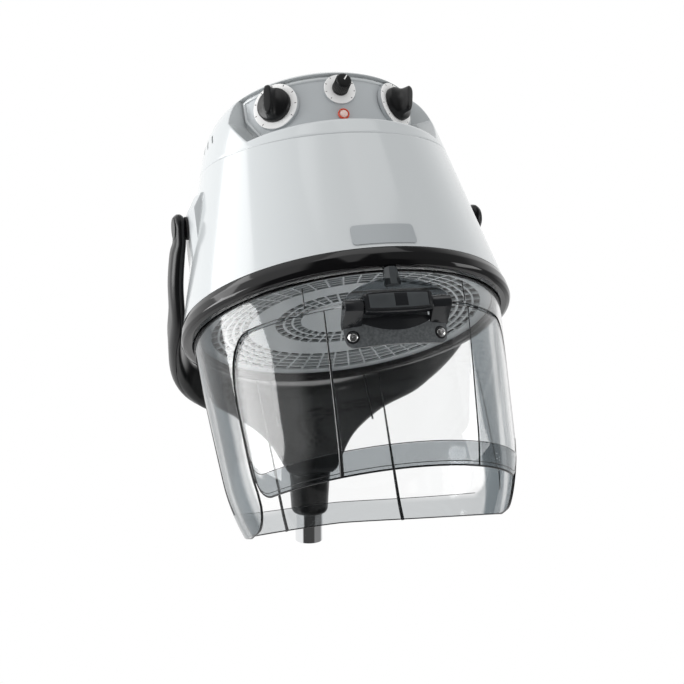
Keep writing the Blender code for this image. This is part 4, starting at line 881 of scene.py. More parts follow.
over_boss = 0.0018
for (name, angle, z, _, boss), lean in ((controls[0], -6.0), (controls[2], -18.0)):
    place = panel_frame(angle, z) @ Matrix.Rotation(math.radians(lean), 4, "Z")
    knob = make_piece(name + "_knob_fine", *loft(bar_knob(boss + over_boss)), knob_black, 40.0, place)
    install(knob, name + "_control", "knob_black", name + "_knob")

_, angle, z, _, boss = controls[1]
base = boss + over_boss
place = panel_frame(angle, z)
slim = spun("timer_knob_fine", [
    (0.0, base), (0.0092, base), (0.0092, base + 0.0025), (0.0086, base + 0.0032), (0.0083, base + 0.0176),
    (0.0074, base + 0.0187), (0.0, base + 0.0187)], 72, knob_black, 0.0007, place)
flute = spun("timer_ribs", [
    (0.0, base + 0.0034), (0.00048, base + 0.0036), (0.00044, base + 0.0174), (0.0, base + 0.0178)],
    6, knob_black, 0.0002)
flute.data.transform(Matrix.Translation((0.0085, 0.0, 0.0)))
repeated(flute, 30, knob_black, place)
install(joined(slim, flute), "timer_control", "knob_black", "timer_knob")
pointer = block("timer_pointer", 0.0006, (0.0008, 0.0071), (base + 0.0184, base + 0.0188), pointer_white,
                place @ Matrix.Rotation(math.radians(-35.0), 4, "Z"))
install(pointer, "timer_control", "dial_white")
case_grey = skinned("switch_case", (0.16, 0.16, 0.165), 0.5, 0.15, patch=40.0, depth=0.05)
for name, *_ in controls:
    dress(name + "_body", case_grey)
    dress(name + "_spindle", screw_steel)


# Lamp
# A pilot light under the timer: a moulded red ring, pressed into the fascia.
# A pale plastic lens bulges in it and is held from behind.

lamp_place = panel_frame(0.0, 0.204)
lamp_red = skinned("lamp_ring_red", (0.62, 0.075, 0.035), 0.25, 0.08, gloss=0.05, patch=90.0, depth=0.01)
lamp_pale = skinned("lamp_lens_pale", (0.78, 0.60, 0.55), 0.12, 0.06, gloss=0.04, patch=90.0, depth=0.01,
                    more=(("Subsurface Weight", 0.3), ("Subsurface Radius", (0.002, 0.001, 0.0008))))
lens_foot, lens_seat, lens_radius, lens_edge, lens_rise = 0.0032, 0.0026, 0.0046, 0.0040, 0.0018
bezel = spun("lamp_bezel_fine", [
    (0.0049, lens_seat), (0.0065, lens_seat), (0.0063, 0.0048), (0.0056, 0.0052), (0.0049, 0.0046)],
    64, lamp_red, 0.0005, lamp_place)
install(bezel, "hood", "lamp_red", "lamp_bezel")
lens_rows = [(0.0, -0.0035), (lens_foot, -0.0035), (lens_foot, lens_seat), (lens_radius, lens_seat),
             (lens_radius, lens_edge)]
lens_rows += [(lens_radius * math.cos(t), lens_edge + lens_rise * math.sin(t))
              for t in spread(0.15, math.pi / 2, 8)[:-1]]
lens_rows += [(0.0, lens_edge + lens_rise)]
lens = spun("lamp_lens_fine", lens_rows, 64, lamp_pale, place=lamp_place, sharp=50.0)
install(lens, "hood", "lamp_clear", "lamp_lens")


# Badge
# A thin bare plate of brushed silver, bent to the shell's curve.
# It is stuck on in the middle of the front, just above the rim.

badge_silver = skinned("badge_brushed", (0.36, 0.385, 0.40), 0.3, 0.06, metallic=0.1, gloss=0.1, grain=2200.0,
                       depth=0.03)
badge_low, badge_high, badge_corner = 0.020, 0.043, 0.004
badge_radius = shell_radius(badge_low)
badge_half = 0.034 / badge_radius


def badge_point(angle, share, lift):
    """A point on the badge, whose corners are rounded."""
    past = max(0.0, 1 - (badge_half - abs(angle)) * badge_radius / badge_corner)
    cut = badge_corner * (1 - math.sqrt(max(0.0, 1 - past * past)))
    z = badge_low + cut + share * (badge_high - badge_low - 2 * cut)
    return polar(shell_radius(z) + lift, angle, z)


turns = [badge_corner / badge_radius * (1 - math.cos(s)) for s in spread(0.0, math.pi / 2, 7)]
badge_angles = [-badge_half + d for d in turns] + spread(-badge_half + 0.03, badge_half - 0.03, 25) \
    + [badge_half - d for d in reversed(turns)]
badge = plate("badge_plate_fine", badge_point, badge_angles, spread(0.0, 1.0, 7), (0.0013, 0.0003),
              badge_silver, place=hood_frame)
install(eased(badge, 0.0005), "hood", "fascia_silver", "badge_plate")


# Rim ring
# A glossy black moulded ring that closes the shell's lower edge, with a ledge inside for the grille
# and a groove underneath that grips the visor's collar.

rim_black = skinned("rim_gloss_black", (0.003, 0.003, 0.0034), 0.08, 0.2, gloss=0.05, patch=10.0,
                    grain=1200.0, depth=0.004, specular=0.4)
ledge_in, ledge_low, ledge_high = 0.1562, 0.003, 0.0085
groove_in, groove_out, groove_top = 0.1674, 0.1728, 0.004
rim_low = -0.006
rim = spun("rim_ring_fine", [
    (ledge_in, ledge_low), (0.1644, ledge_low), (0.1644, rim_low), (groove_in, rim_low),
    (groove_in, groove_top), (groove_out, groove_top), (groove_out, rim_low), (0.179, rim_low),
    (0.1832, -0.0042), (0.185, 0.0), (0.1838, 0.0088), (0.181, rim_top), (0.174, rim_top),
    (0.174, ledge_high), (ledge_in, ledge_high)], 220, rim_black, 0.0011, hood_frame, 40.0)
install(rim, "hood", "rim_black", "rim_ring")


# Air grille
# A grey moulded disc under the fan, gently domed: a slotted outer band of thin spokes and rings, a plain
# ring, a second slotted band and a plain hub. Four small screws hold its flange to the rim's ledge.

grille_grey = skinned("grille_matt_grey", (0.42, 0.45, 0.465), 0.4, 0.06, patch=20.0, grain=1200.0,
                      depth=0.03)
grille_edge, grille_top, grille_dome = 0.157, 0.0027, 0.012
ring_thickness, spoke_thickness = 0.0025, 0.0024
hub_edge, ring_in, ring_out, flange_in, flange_out = 0.050, 0.079, 0.110, 0.1515, 0.1635


def grille_height(radius):
    """Upper side of the grille over the rim plane."""
    return grille_top + grille_dome * max(0.0, 1 - (radius / grille_edge) ** 2)


def grille_ring(name, inner, outer):
    """A plain ring of the grille that follows its dome."""
    radii = spread(inner, outer, max(2, int((outer - inner) / 0.004) + 2))
    upper = [(r, grille_height(r)) for r in radii]
    lower = [(r, grille_height(r) - ring_thickness) for r in reversed(radii)]
    return spun(name, upper + lower, 192, grille_grey, sharp=50.0)


parts = [grille_ring("air_grille_fine", flange_in, flange_out), grille_ring("plain_ring", ring_in, ring_out),
         grille_ring("hub", 0.0, hub_edge)]
# Each band's inner and outer radius, its rows of slots, its spokes, and the widths of its rings and spokes
for inner, outer, count, spokes, bar, web in ((ring_out, flange_in, 5, 48, 0.0022, 0.0019),
                                              (hub_edge, ring_in, 3, 36, 0.0026, 0.0022)):
    pitch = (outer - inner) / count
    for k in range(1, count):
        middle = inner + k * pitch
        parts.append(grille_ring("bar", middle - bar / 2, middle + bar / 2))
    strip = [[Vector((r, side * web / 2, grille_height(r) - under * spoke_thickness))
              for side, under in ((-1, 0), (1, 0), (1, 1), (-1, 1))]
             for r in spread(inner - 0.001, outer + 0.001, 9)]
    parts.append(repeated(make_piece("spoke", *loft(strip), grille_grey), spokes, grille_grey))
grille = joined(*parts)
grille.data.transform(hood_frame)
install(grille, "hood", "grille_grey", "air_grille")
screw_ring = 0.16025 * math.sqrt(0.5)
downward = Matrix.Translation((screw_ring, screw_ring, -0.0001)) @ Matrix.Rotation(math.pi, 4, "X")
grille_screw = make_piece("grille_screws", *cross_head(0.0012, -0.0070, 0.0, 0.0024, 0.0012, 32), screw_steel,
                          30.0, downward)
repeated(grille_screw, 4, screw_steel, hood_frame)
install(grille_screw, "hood", "fastener_steel", *("grille_screw_%d" % n for n in (1, 2, 3, 4)))


# Visor
# A clear skirt blown from one sheet and gripped by the rim's groove. It is open in front below a collar,
# deep at the sides and shallow behind; its sides and its curled lower lip are smoke-grey, and moulded
# ribs and a bound edge stiffen it.

visor_straight, visor_wall = 0.008, 0.003
visor_top_radius, visor_taper, visor_lean = 0.172, 0.09, 0.03
skirt_depth, back_depth, side_depth = 0.230, 0.192, 0.038
curl_height, curl_in = 0.065, 0.012
corner_width, corner_height = 0.042, 0.068
foot_turn, foot_height = math.radians(14.0), 0.035
flap_half_angle = math.radians(65.3)
window = flap_half_angle + math.radians(1.4)
collar_depth = 0.036


def visor_radius(z):
    """Radius of the visor: straight in the groove, then drawn in, with a curled lower lip."""
    curl = max(0.0, curl_height - skirt_depth - z) / curl_height
    return visor_top_radius + visor_taper * min(0.0, z + visor_straight) - curl_in * curl * curl


def visor_point(angle, z, out=0.0):
    """A point on the outside of the visor, which leans forward below the rim, or so far out from it."""
    forward = visor_lean * min(0.0, z + visor_straight)
    return polar(visor_radius(z) + out, angle, z) + Vector((0.0, forward, 0.0))


def corner_drop(angle, half_angle):
    """How far a rounded upper corner has come down at an angle."""
    span = corner_width / visor_top_radius
    past = min(1.0, max(0.0, abs(angle) - (half_angle - span)) / span)
    return corner_height * (1 - math.sqrt(1 - past * past))


def visor_bottom(angle):
    """Lower edge of the skirt: deepest at the sides, shallow at the back, rounded at the front corners."""
    if angle > math.pi:
        angle -= 2 * math.pi
    wave = back_depth + side_depth * min(1.0, math.cos(angle) + 1) ** 0.8
    past = min(1.0, max(0.0, 1 - (abs(angle) - window) / foot_turn))
    return -(wave - foot_height * (1 - math.sqrt(max(0.0, 1 - past * past))))


def clear_sheet(name, tint, smoke_tint):
    """A clear plastic that turns smoky where the piece's smoke attribute says so; the attribute also carries
    painted shade.
    """
    material, shader, skin = skin_base(name, tint, 0.03, 0.012, 0.03, 9.0, 300.0)
    shader["IOR"].default_value = 1.4
    shader["Transmission Weight"].default_value = 1.0
    tree = material.node_tree
    smoke = add(tree, "ShaderNodeAttribute", {}, attribute_name="smoke")["Fac"]
    blend = add(tree, "ShaderNodeMix", {"Factor": smoke, "A": skin["Colour"], "B": (*smoke_tint, 1.0)},
                data_type="RGBA")
    tree.links.new(blend["Result"], shader["Base Color"])
    light = add(tree, "ShaderNodeLightPath", {})
    through = add(tree, "ShaderNodeBsdfTransparent", {"Color": (0.9, 0.9, 0.9, 1.0)})[0]
    either = add(tree, "ShaderNodeMixShader", {
        "Fac": light["Is Shadow Ray"], 1: tree.nodes["Principled BSDF"].outputs[0], 2: through})[0]
    tree.links.new(either, tree.nodes["Material Output"].inputs["Surface"])
    return material


def mark_smoke(item, amount):
    """Write how smoky each point is, with any painted shade, before the piece is leaned back with the hood.
    """
    layer = item.data.attributes.new("smoke", "FLOAT", "POINT")
    layer.data.foreach_set("value", [amount(math.atan2(v.co.x, -v.co.y), v.co.z) for v in item.data.vertices])


def ramp(value, low, high):
    """A share from 0 at the low end to 1 at the high end."""
    return min(1.0, max(0.0, (value - low) / (high - low)))


def lip_smoke(above):
    """Full below the upper end of a lip, with a short way out."""
    return 1 - ramp(above, -0.0008, 0.0008)


def sheet_rows(top, bottom, lip):
    """Heights down a sheet, closer together at the upper end of its lip."""
    rows = [top + share * (bottom + lip + 0.024 - top) for share in spread(0.0, 1.0, 11)]
    rows += [bottom + lip + up for up in (0.019, 0.015, 0.011, 0.0075, 0.0045, 0.002, 0.0008)]
    return rows + [bottom + lip - 0.0008] + [bottom + lip * s for s in (0.75, 0.5, 0.3, 0.15, 0.06, 0.0)]


def hung_sheet(angles, heights):
    """Outer and inner grid of a sheet whose rows hang at each angle's own heights."""
    grids = []
    for out in (0.0, -visor_wall):
        columns = [[visor_point(angle, z, out) for z in heights(angle)] for angle in angles]
        grids.append([list(row) for row in zip(*columns)])
    return grids


# Geometry nodes: a round bead along each line of a wire mesh, as thick as its girth attribute
bead_tree, given, leave = new_tree(
    "bead_on_path", "GeometryNodeTree", (("Lines", "Geometry"), ("Sides", "Int"), ("Finish", "Material")),
    (("Beads", "Geometry"),))
course = add(bead_tree, "GeometryNodeMeshToCurve", {"Mesh": given["Lines"]})["Curve"]
ring = add(bead_tree, "GeometryNodeCurvePrimitiveCircle",
           {"Radius": 1.0, "Resolution": given["Sides"]})["Curve"]
girth = add(bead_tree, "GeometryNodeInputNamedAttribute", {"Name": "girth"})["Attribute"]
tube = add(bead_tree, "GeometryNodeCurveToMesh",
           {"Curve": course, "Profile Curve": ring, "Scale": girth, "Fill Caps": True})["Mesh"]
smooth = add(bead_tree, "GeometryNodeSetShadeSmooth", {"Geometry": tube})[0]
painted_end(bead_tree, smooth, given["Finish"], leave)


def beads(name, paths, material):
    """Beads of a finish along paths of (point, girth), leaned back with the hood."""
    points = []
    girths = []
    edges = []
    for path in paths:
        edges += [(k, k + 1) for k in range(len(points), len(points) + len(path) - 1)]
        points += [tuple(p) for p, _ in path]
        girths += [g for _, g in path]
    data = bpy.data.meshes.new(name)
    data.from_pydata(points, edges, [])
    data.attributes.new("girth", "FLOAT", "POINT").data.foreach_set("value", girths)
    return through_nodes(new_object(name, data), bead_tree, {"Sides": 10, "Finish": material}, hood_frame)


def rib(start, end, girths, behind=False, out=0.0):
    """A bead's path down the sheet from one (x, z) to another, on its front or back half."""
    path = []
    for share in spread(0.0, 1.0, 24):
        x, z, girth = (a + share * (b - a) for a, b in zip((*start, girths[0]), (*end, girths[1])))
        angle = math.asin(x / visor_radius(z))
        path.append((visor_point(math.pi - angle if behind else angle, z, out), girth))
    return path


def bound_corner(side, angles, swell, thick, high, foot, shares):
    """A bead's path out along an upper edge, swelling to its full girth, and down the side edge to a foot."""
    thin = 0.0004
    end = angles[-1]
    top = high(end)
    path = [(visor_point(side * a, high(a), mid_wall), thin + (thick - thin) * ramp(a, swell, end))
            for a in angles]
    return path + [(visor_point(side * end, top + s * (foot - top), mid_wall), thick) for s in shares]


smoke_grey = (0.215, 0.245, 0.262)
visor_clear = clear_sheet("visor_clear_sheet", (0.994, 0.998, 0.998), smoke_grey)
skirt_lip = 0.026
side_front, side_rear = math.radians(83.0), math.radians(106.0)
collar_rows = [0.0037, -0.003, -visor_straight, -0.018, -0.028]
front = spread(-window, window, 81)
edges = [turn + math.radians(step) for side in (side_front, side_rear) for turn in (side, 2 * math.pi - side)
         for step in (-0.7, 0.0, 0.7)]
back = sorted(spread(window, 2 * math.pi - window, 181)[1:-1] + edges)


def skirt_rows(angle):
    """Heights down the collar and the skirt."""
    here = angle if angle <= math.pi else angle - 2 * math.pi
    return collar_rows + sheet_rows(-collar_depth - corner_drop(here, window), visor_bottom(angle), skirt_lip)


visor = make_piece("visor_shell_fine", *thick_patch(
    *hung_sheet(front + back, skirt_rows), wrap=True,
    skip=lambda r, c: r >= len(collar_rows) and c < len(front) - 1), visor_clear, 50.0)


def skirt_smoke(angle, z):
    """Smoke of the skirt: full at its sides, paler in the lip behind them, with a rounded inner corner."""
    turn = abs(angle)
    if turn < window - 0.001:
        return 0.0
    bend = 0.022
    across = (turn - side_rear) * 0.16
    above = z - visor_bottom(angle) - skirt_lip
    if across > 0.0 and above > -0.004:
        if above < bend and across < bend:
            inside = math.hypot(max(0.0, bend - across), max(0.0, bend - above))
            return 0.5 * ramp(inside, bend - 0.0015, bend + 0.0015)
        return 0.5 * lip_smoke(above)
    pale = ramp(turn, side_front, side_front + 0.02) * (1 - ramp(turn, side_front + 0.1, side_front + 0.12))
    paler = max(0.5 * pale, 0.55 * (1 - ramp(turn, window + 0.06, window + 0.11)))
    side = (1 - paler) * (1 - ramp(turn, side_rear - 0.012, side_rear + 0.012))
    return max(side, 0.5 * lip_smoke(above))


mark_smoke(visor, skirt_smoke)
visor.data.transform(hood_frame)
install(eased(visor, 0.0009), "hood", "visor_clear", "visor_shell")

smoke_edge = skinned("visor_edge_smoke", (0.012, 0.013, 0.014), 0.15, 0.2)
within = -visor_wall - 0.0012
mid_wall = -visor_wall / 2
rib_foot = visor_bottom(math.pi - math.asin(0.070 / 0.15))
lines = []
for side in (-1.0, 1.0):
    lines.append(rib((side * 0.078, -0.010), (side * 0.070, rib_foot), (0.0007, 0.0021), True))
    lines.append(rib((side * 0.061, -0.007), (side * 0.061, -0.068), (0.0009, 0.0012), True, within))
    lines.append(rib((side * 0.085, -0.012), (side * 0.085, -0.034), (0.0006, 0.0006)))
    lines.append([(visor_point(side * math.radians(104.0 - 8.0 * s), -0.05 - 0.15 * s), 0.0005 + 0.0003 * s)
                  for s in spread(0.0, 1.0, 20)])
    lines.append(bound_corner(side, spread(window - 0.2, window, 24), 0.9, 0.0010,
                              lambda a: -collar_depth - corner_drop(a, window), visor_bottom(window),
                              spread(0.05, 1.0, 16)))
around_back = spread(window, 2 * math.pi - window, 160)
lines.append([(visor_point(a, visor_bottom(a), mid_wall), 0.0006) for a in around_back])
lines.append([(visor_point(a, visor_bottom(a) + skirt_lip), 0.0004) for a in around_back
              if side_rear + 0.15 < a < 2 * math.pi - side_rear - 0.15])
install(beads("visor_ribs_and_edge", lines, smoke_edge), "hood", "hinge_smoke")


# Flap
# The clear front pane of the visor, drawn to the same curve, that swings up on its hinge. Its lower lip
# is tinted like the visor's, its side edges carry a grey strip that is painted shade for their rolled
# curve, and a dark bead binds it.

flap_bottom, flap_lip = -0.2047, 0.023
flap_angles = spread(-flap_half_angle, flap_half_angle, 161)


def flap_high(angle):
    """Upper edge of the flap, just under the collar, with rounded corners."""
    return -collar_depth - 0.003 - corner_drop(angle, flap_half_angle)


def flap_low(angle):
    """Lower edge of the flap, with rounded corners."""
    past = ramp(abs(angle), flap_half_angle - 0.10, flap_half_angle)
    return flap_bottom + 0.018 * (1 - math.sqrt(1 - past * past))


def flap_smoke_and_edge_shade(angle, z):
    """Smoke of the flap: its tinted lip, and a grey strip along its side edges that is painted shade."""
    return max(0.8 * lip_smoke(z - flap_low(angle) - flap_lip),
               1 - ramp((flap_half_angle - abs(angle)) * 0.165, 0.001, 0.016))


flap = make_piece("flap_pane_fine", *thick_patch(*hung_sheet(
    flap_angles, lambda a: sheet_rows(flap_high(a), flap_low(a), flap_lip))), visor_clear, 50.0)
# The flap's side-edge strip is painted shade for the rolled curve of those edges, not a tint.
mark_smoke(flap, flap_smoke_and_edge_shade)
flap.data.transform(hood_frame)
install(eased(flap, 0.0009), "flap", "visor_clear", "flap_pane")
lines = [rib((-0.068, -collar_depth - 0.004), (-0.070, flap_bottom), (0.0007, 0.0022)),
         rib((0.088, -collar_depth - 0.004), (0.072, flap_bottom), (0.0005, 0.0010))]
for side in (-1.0, 1.0):
    lines.append(bound_corner(side, spread(0.35, flap_half_angle, 60), flap_half_angle - 0.25, 0.0016,
                              flap_high, flap_low(flap_half_angle), spread(0.04, 1.0, 20)))
for above, girth, out in ((0.0, 0.0010, mid_wall), (0.0035, 0.0004, 0.0), (flap_lip, 0.0004, 0.0)):
    lines.append([(visor_point(a, flap_low(a) + above, out), girth) for a in flap_angles])
install(beads("flap_ribs_and_edge", lines, smoke_edge), "flap", "hinge_smoke")


# Flap hinge
# Smoked plastic mouldings: under the rim an arched leaf with a faceted stem and a framed pillow, and on
# the flap a plate with two knuckles, a brow and a backing strip. The brow is a dark band that is partly
# painted shadow under the upper leaf. Two bright screws hold the plate, and a steel pin runs through
# pillow and knuckles.

smoke_gloss = skinned("hinge_smoked_gloss", (0.012, 0.013, 0.0145), 0.12, 0.2, patch=40.0, grain=700.0)
# A paler copy of the smoked plastic, partly painted light: reflection on the pillow's face pane, lit facets
# on the stem.
smoke_with_painted_light = skinned("hinge_smoked_painted_light", (0.052, 0.057, 0.060), 0.10, 0.5, grain=700.0)
plate_grey = skinned("hinge_plate_charcoal", (0.080, 0.087, 0.091), 0.3, 1.6, gloss=0.1, patch=420.0,
                     depth=0.05)
smoke_sheet = clear_sheet("hinge_smoked_sheet", (0.23, 0.25, 0.265), smoke_grey)
hinge_forward, hinge_drop = 0.1815, 0.047
arch_half, arch_rise, arch_foot = 0.0535, 0.0205, 0.0077 - hinge_drop
outline = [(arch_half * math.cos(t), arch_rise * math.sin(t) ** 1.5) for t in spread(0.0, math.pi, 49)]
arch_sections = [[Vector((x * scale, -hinge_forward + y, arch_foot + rise * scale)) for x, rise in outline]
                 for y, scale in ((-0.002, 0.985), (-0.0016, 1.0), (0.0016, 1.0), (0.002, 0.985))]
install(make_piece("hinge_arch", *loft(arch_sections), smoke_sheet, 40.0, hood_frame), "hood", "hinge_smoke")

pillow_half, pillow_middle, pillow_low, pillow_swell = 0.035, 0.0018, 0.0096, 0.0019
pillow_set, pillow_bulge, pillow_back, pin_room = 0.003, 0.0045, 0.0110, 0.0102


def pillow_point(x, high, out=0.0):
    """A point on the pillow's front at a share of its height from the middle."""
    half = pillow_low + pillow_swell * (1 - (x / pillow_half) ** 2)
    front = hinge_forward + pillow_set + pillow_bulge * (1 - abs(high) ** 4) ** 0.25 + out
    return Vector((x, -front, pillow_middle - hinge_drop + high * half))


sections = []
for share in [-1.0] + spread(-0.97, 0.97, 25) + [1.0]:
    x = pillow_half * share
    scale = 0.9 if abs(share) == 1.0 else 1.0
    section = []
    for k in range(48):
        turn = 2 * math.pi * k / 48
        high = math.copysign(abs(math.sin(turn)) ** 0.5, math.sin(turn)) * scale
        deep = math.copysign(abs(math.cos(turn)) ** 0.5, math.cos(turn)) * scale
        rise = pillow_point(x, high * 0.999).z + hinge_drop
        behind = -pillow_set - (pillow_bulge if deep > 0.0 else pillow_back) * deep
        if rise < 0.0:
            tuck = min(1.0, pin_room / math.hypot(behind, rise))
            behind, rise = behind * tuck, rise * tuck
        section.append(Vector((x, behind - hinge_forward, rise - hinge_drop)))
    sections.append(section)
pillow = make_piece("hinge_upper_leaf_fine", *loft(sections), smoke_gloss, 40.0)
stem_line = ((-1.0, -0.1735), (-1.0, -0.1800), (-0.45, -0.1836), (0.45, -0.1836), (1.0, -0.1800),
             (1.0, -0.1735))
stem_sections = [[Vector((x * half, y, z)) for x, y in stem_line]
                 for z, half in ((0.0216 - hinge_drop, 0.0078), (-0.0063, 0.0066))]
# The stem takes the paler smoked plastic, partly painted light for its lit facets.
stem = make_piece("stem", *loft(stem_sections), smoke_with_painted_light, 20.0, hood_frame)
pillow.data.transform(hood_frame)
install(pillow, "hood", "hinge_smoke", "hinge_upper_leaf")
install(eased(stem, 0.0005), "hood", "hinge_smoke")
# The face pane is paler than the pillow around it, partly as painted reflection.
pane = plate("hinge_pillow_face", pillow_point, spread(-0.0305, 0.0305, 31), spread(-0.64, 0.74, 15),
             (0.0005, -0.0006), smoke_with_painted_light, 40.0, hood_frame)
install(eased(pane, 0.0003), "hood", "hinge_smoke")
boss = plate("hinge_pillow_boss", pillow_point, spread(-0.004, 0.009, 7), spread(-0.5, 0.68, 9),
             (0.0007, 0.0), smoke_gloss, 40.0, hood_frame)
install(boss, "hood", "hinge_smoke")
frame_half, frame_high, frame_low = 0.0325, 0.84, -0.70
loop = [(x, frame_high) for x in spread(-frame_half, frame_half, 31)] \
    + [(x, frame_low) for x in spread(frame_half, -frame_half, 31)] + [(-frame_half, frame_high)]
install(beads("hinge_pillow_frame", [[(pillow_point(x, h), 0.0008) for x, h in loop]], smoke_gloss),
        "hood", "hinge_smoke")

leaf_top, leaf_bottom = -0.061, -0.084
leaf_half = 0.053 / visor_radius(leaf_bottom)


def leaf_point(angle, share, lift):
    """A point on the lower leaf: swollen in the middle of its upper edge, rounded at its lower corners."""
    swell = 0.0033 * max(0.0, 1 - (angle / leaf_half / 0.6) ** 2)
    edge = 0.010 * (1 - math.sqrt(max(0.0, 1 - max(0.0, (abs(angle) / leaf_half - 0.8) / 0.2) ** 2)))
    top = leaf_top + swell
    return visor_point(angle, top + share * (leaf_bottom + edge - top), lift)


leaf = plate("hinge_lower_leaf_fine", leaf_point, spread(-leaf_half, leaf_half, 61), spread(0.0, 1.0, 9),
             (0.0043, 0.0003), plate_grey, 40.0, hood_frame)
install(eased(leaf, 0.0006), "flap", "hinge_smoke", "hinge_lower_leaf")
knuckle_radius, knuckle_foot = 0.0068, -0.062
parts = []
for side in (-1.0, 1.0):
    sections = []
    for x, inset in ((0.0358, 0.0006), (0.0366, 0.0), (0.0546, 0.0), (0.0552, 0.0006)):
        surface = visor_point(math.asin(min(x, 0.0519) / visor_radius(knuckle_foot)), knuckle_foot, 0.0023).y
        radius = knuckle_radius - inset
        knuckle = [(radius * math.sin(t) - hinge_forward, radius * math.cos(t) - hinge_drop)
                   for t in spread(math.radians(-150.0), math.radians(60.0), 20)]
        knuckle += [(surface, knuckle_foot + 0.004), (surface, knuckle_foot - 0.002)]
        sections.append([Vector((side * x, y, z)) for y, z in knuckle])
    parts.append(make_piece("hinge_knuckles", *loft(sections), smoke_gloss, 40.0))
# The brow: a dark band under the pillow, partly a moulded tab and partly painted shadow of the upper leaf.
brow_half = 0.0352 / visor_radius(-0.065)
brow_angles = spread(-brow_half, brow_half, 41)
parts.append(plate("brow", lambda a, share, lift: visor_point(
    a, -0.0553 - share * (0.0045 + 0.0100 * (1 - (a / brow_half) ** 2)), lift),
    brow_angles, spread(0.0, 1.0, 9), (0.0047, 0.0038), smoke_gloss, 40.0))
backing = plate("hinge_backing", visor_point, brow_angles, spread(-0.0475, -0.062, 7), (0.0010, 0.0002),
                plate_grey, 40.0, hood_frame)
install(backing, "flap", "hinge_smoke")
knuckles = joined(*parts)
knuckles.data.transform(hood_frame)
install(eased(knuckles, 0.0005), "flap", "hinge_smoke")
dress("hinge_pin", screw_steel)
bright = skinned("bright_screw_chrome", (0.82, 0.82, 0.82), 0.08, 0.05, metallic=1.0, gloss=0.06, patch=200.0,
                 grain=1200.0, depth=0.01)
fall = -leaf_top + (leaf_top - leaf_bottom) * 0.52
screw_turn = math.asin(0.0445 / visor_radius(-fall))
under_head, head_radius = 0.0049, 0.0050
for hand, angle in (("left", -screw_turn), ("right", screw_turn)):
    spot = hood_frame @ Matrix.Translation(visor_point(angle, -fall)) @ upright(angle)
    screw = spun("hinge_screw_%s_fine" % hand, [
        (0.0, -0.005), (0.002, -0.005), (0.002, under_head), (head_radius, under_head), (head_radius, 0.0056),
        (0.0041, 0.0066), (0.0027, 0.0072), (0.0009, 0.0074), (0.0009, 0.0060), (0.0, 0.0060)],
        48, bright, 0.0004, spot, 30.0)
    install(screw, "flap", "screw_chrome", "hinge_screw_" + hand)
    seat = spun("hinge_screw_seat_" + hand, [
        (0.0022, 0.0040), (0.0068, 0.0040), (0.0068, 0.0047), (0.0060, under_head), (0.0022, under_head)],
        48, smoke_gloss, 0.0002, spot)
    install(seat, "flap", "hinge_smoke")


# Fan, motor and heater
# What can be seen through the slots: a formed sheet air guide with the motor bridged over its inlet,
# the fan wheel under it, and a heater coil on its board. They keep their solids. The finishes made here
# are darkened far below their own colours, as painted shade for the dark inside the hood.

# Painted shade: these colours are darkened for the shadow inside the hood, not the parts' own tone.
sheet_steel = skinned("guide_sheet_in_painted_shade", (0.030, 0.031, 0.032), 0.5, 0.12, metallic=0.3, gloss=0.12,
                      patch=25.0, grain=700.0, depth=0.03)
bracket_steel = skinned("bracket_zinc_painted_shade", (0.05, 0.05, 0.05), 0.45, 0.15, metallic=0.6, gloss=0.12, grain=700.0,
                        depth=0.03)
motor_in_painted_shade = skinned("motor_case_painted_shade", (0.03, 0.03, 0.032), 0.5, 0.15, metallic=0.4, gloss=0.1, patch=40.0,
                     grain=700.0, depth=0.04)
fan_in_painted_shade = skinned("fan_plastic_painted_shade", (0.04, 0.04, 0.04), 0.5, 0.08, patch=30.0, depth=0.04)
mica = skinned("heater_mica_painted_shade", (0.06, 0.05, 0.035), 0.6, 0.35, gloss=0.12, patch=45.0, grain=500.0, depth=0.08)
coil = skinned("heater_wire_painted_shade", (0.04, 0.036, 0.033), 0.5, 0.3, metallic=0.6, gloss=0.1, patch=80.0,
               depth=0.05)
cutout = skinned("cutout_ceramic_painted_shade", (0.12, 0.115, 0.1), 0.5, 0.1, depth=0.04)
for node, material, slot in (
        ("air_guide", sheet_steel, "guide_sheet"), ("motor_bracket", bracket_steel, "bracket_sheet"),
        ("motor_body", motor_in_painted_shade, "motor_case"), ("motor_shaft", screw_steel, "fastener_steel"),
        ("fan_wheel", fan_in_painted_shade, "fan_plastic"), ("heater_frame", mica, "heater_board"),
        ("heater_coil", coil, "heater_wire"), ("thermal_cutout", cutout, "cutout_case")):
    dress(node, material)


# Studio
# A camera a little left of the hood's front and above it, two soft boxes at the left, a low one at the
# right and one overhead, in a white surround that is dark behind the camera, and a pale floor.

turn, lift = math.radians(-16.0), math.radians(12.3)
back = Vector((math.sin(turn) * math.cos(lift), -math.cos(turn) * math.cos(lift), math.sin(lift)))
right = Vector((math.cos(turn), math.sin(turn), 0.0))
up = right.cross(-back)
subject, distance, shift_right, shift_up = Vector((0.0, -0.173, 0.315)), 1.5, -0.00515, -0.0183
spot = subject + right * shift_right + up * shift_up + back * distance
sensor, focal_share = 36.0, 1341 / 684
camera_data = bpy.data.cameras.new("camera")
camera_data.sensor_fit = "HORIZONTAL"
camera_data.sensor_width = sensor
camera_data.lens = focal_share * sensor
camera = new_object("camera", camera_data)
camera.matrix_world = Matrix.Translation(spot) @ Matrix((right, up, back)).transposed().to_4x4()
bpy.context.scene.camera = camera

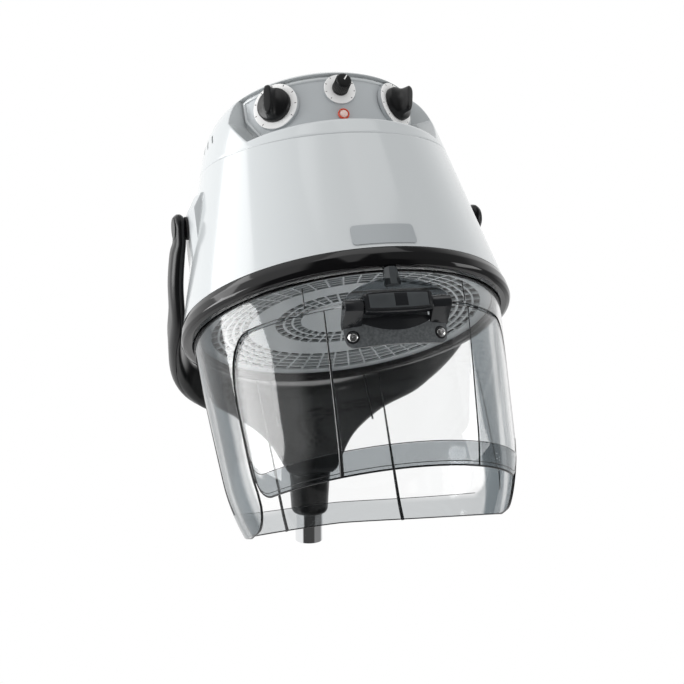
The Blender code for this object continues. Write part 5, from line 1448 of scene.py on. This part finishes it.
aim = Vector((0.0, -0.15, 0.35))
for name, place, width, height, power in (("left_box", (-1.75, 0.1, 0.42), 1.15, 0.85, 21.0),
                                          ("left_back_box", (-1.53, 0.80, 1.19), 0.9, 0.9, 6.0),
                                          ("right_box", (1.66, -0.69, 0.53), 0.74, 0.5, 3.7),
                                          ("top_box", (0.1, -0.3, 2.0), 1.4, 1.0, 4.0)):
    data = bpy.data.lights.new(name, "AREA")
    data.shape = "RECTANGLE"
    data.size = width
    data.size_y = height
    data.energy = power
    lamp = new_object(name, data)
    toward = Vector(place) - aim
    lamp.matrix_world = Matrix.Translation(place) @ toward.to_track_quat("Z", "Y").to_matrix().to_4x4()

world = bpy.data.worlds.new("studio_surround")
bpy.context.scene.world = world
world.use_nodes = True
tree = world.node_tree
surround = tree.nodes["Background"].inputs
surround["Color"].default_value = (1.0, 1.0, 1.0, 1.0)
look = add(tree, "ShaderNodeTexCoord", {})["Generated"]
toward_camera = (math.sin(turn), -math.cos(turn), 0.0)
forward, aside = (add(tree, "ShaderNodeVectorMath", {0: look, 1: way}, operation="DOT_PRODUCT")["Value"]
                  for way in (toward_camera, -right))
sides = add(tree, "ShaderNodeMapRange", {"Value": aside, "From Min": -0.4, "From Max": 0.4, "To Min": 0.25,
                                         "To Max": 1.0})["Result"]
behind = add(tree, "ShaderNodeMapRange", {"Value": forward, "From Min": -0.8, "From Max": -0.3, "To Min": 1.0,
                                          "To Max": 0.0})["Result"]
away = maths(tree, "ABSOLUTE", maths(tree, "ARCTAN2", aside, forward))
room = add(tree, "ShaderNodeMapRange", {"Value": away, "From Min": 0.75, "From Max": 1.0, "To Min": 0.06,
                                        "To Max": maths(tree, "MAXIMUM", sides, behind)},
           interpolation_type="SMOOTHSTEP")["Result"]
light = add(tree, "ShaderNodeLightPath", {})
backdrop = maths(tree, "LESS_THAN", forward, 0.0)
through_sheet = maths(tree, "MULTIPLY", light["Is Transmission Ray"], backdrop)
seen = maths(tree, "MAXIMUM", light["Is Camera Ray"], through_sheet)
mirrored = maths(tree, "MAXIMUM", light["Is Glossy Ray"], light["Is Transmission Ray"])
plain = add(tree, "ShaderNodeMix", {"Factor": mirrored, "A": 0.8, "B": room}, data_type="FLOAT")["Result"]
level = add(tree, "ShaderNodeMix", {"Factor": seen, "A": plain, "B": 1.0}, data_type="FLOAT")["Result"]
tree.links.new(level, surround["Strength"])

floor_pale = skinned("floor_pale", (0.88, 0.88, 0.88), 0.6, 0.02, gloss=0.05, patch=3.0, grain=200.0,
                     depth=0.01)
floor = spun("floor", rod(1.5, -1.22, -1.2), 96, floor_pale)

bpy.context.scene.view_settings.view_transform = "Standard"
